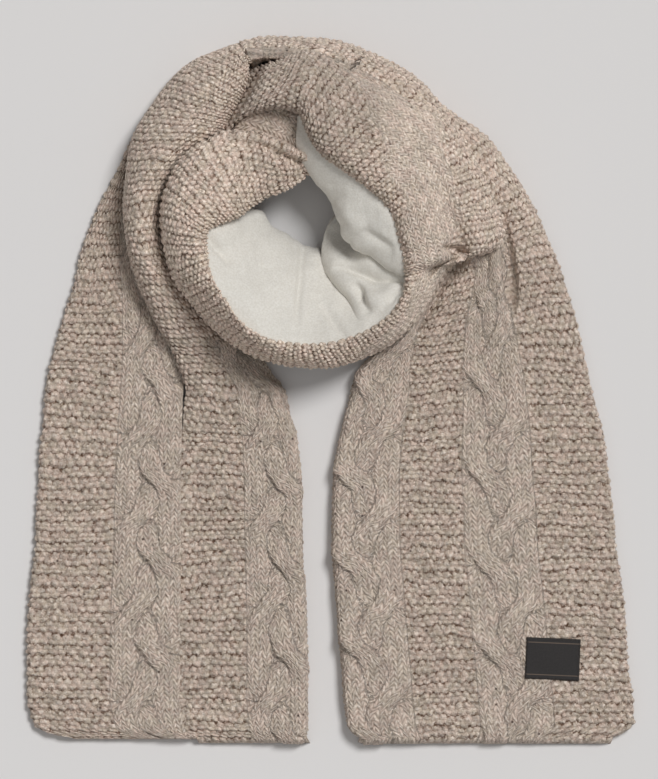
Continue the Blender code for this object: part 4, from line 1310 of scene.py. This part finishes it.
class SCARF_OT_right_end(bpy.types.Operator):
    """Knit the right end and the stretch that rises from it"""

    bl_idname = "scarf.right_end"
    bl_label = "Right end"

    def execute(self, context):
        build_right(material_of("knit_oatmeal_marl"))
        return {"FINISHED"}


class SCARF_OT_neck(bpy.types.Operator):
    """Knit the turns round the neck hole, the tucked stretch and the layers beneath"""

    bl_idname = "scarf.neck"
    bl_label = "Neck turns"

    def execute(self, context):
        yarn = material_of("knit_oatmeal_marl")
        build_ring(yarn)
        build_tuck(yarn)
        build_hidden(yarn)
        return {"FINISHED"}


class SCARF_OT_lining(bpy.types.Operator):
    """Lay the fleece lining that shows in the neck hole"""

    bl_idname = "scarf.lining"
    bl_label = "Fleece lining"

    def execute(self, context):
        build_lining(material_of("fleece_cream_nap"))
        return {"FINISHED"}


class SCARF_OT_label(bpy.types.Operator):
    """Sew the bare woven label on"""

    bl_idname = "scarf.label"
    bl_label = "Woven label"

    def execute(self, context):
        build_label(material_of("label_woven_black"), material_of("thread_black"))
        return {"FINISHED"}


class SCARF_OT_stage(bpy.types.Operator):
    """Set out the floor, the light and the camera"""

    bl_idname = "scarf.stage"
    bl_label = "Floor, light and camera"

    def execute(self, context):
        build_stage()
        return {"FINISHED"}


PIECES = (
    SCARF_OT_left_end, SCARF_OT_right_end, SCARF_OT_neck, SCARF_OT_lining, SCARF_OT_label, SCARF_OT_stage)


class SCARF_PT_panel(bpy.types.Panel):
    """Scarf pieces and settings"""

    bl_label = "Cable-knit scarf"
    bl_space_type = "VIEW_3D"
    bl_region_type = "UI"
    bl_category = "Scarf"

    def draw(self, context):
        scene = context.scene
        for piece in PIECES:
            self.layout.operator(piece.bl_idname, text=piece.bl_label)
        for group in (scene.scarf_knit, scene.scarf_colours, scene.scarf_stage):
            box = self.layout.box()
            for name in group.__annotations__:
                box.prop(group, name)


GROUPS = (("scarf_knit", ScarfKnit), ("scarf_colours", ScarfColours), ("scarf_stage", ScarfStage))


def register():
    for name, group in GROUPS:
        bpy.utils.register_class(group)
        setattr(bpy.types.Scene, name, bpy.props.PointerProperty(type=group))
    for piece in PIECES + (SCARF_PT_panel,):
        bpy.utils.register_class(piece)


def unregister():
    for piece in (SCARF_PT_panel,) + PIECES[::-1]:
        bpy.utils.unregister_class(piece)
    for name, group in GROUPS[::-1]:
        delattr(bpy.types.Scene, name)
        bpy.utils.unregister_class(group)


def main():
    register()
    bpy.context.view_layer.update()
    bpy.ops.scarf.left_end()
    bpy.ops.scarf.right_end()
    bpy.ops.scarf.neck()
    bpy.ops.scarf.lining()
    bpy.ops.scarf.label()
    bpy.ops.scarf.stage()


if __name__ == "__main__":
    main()
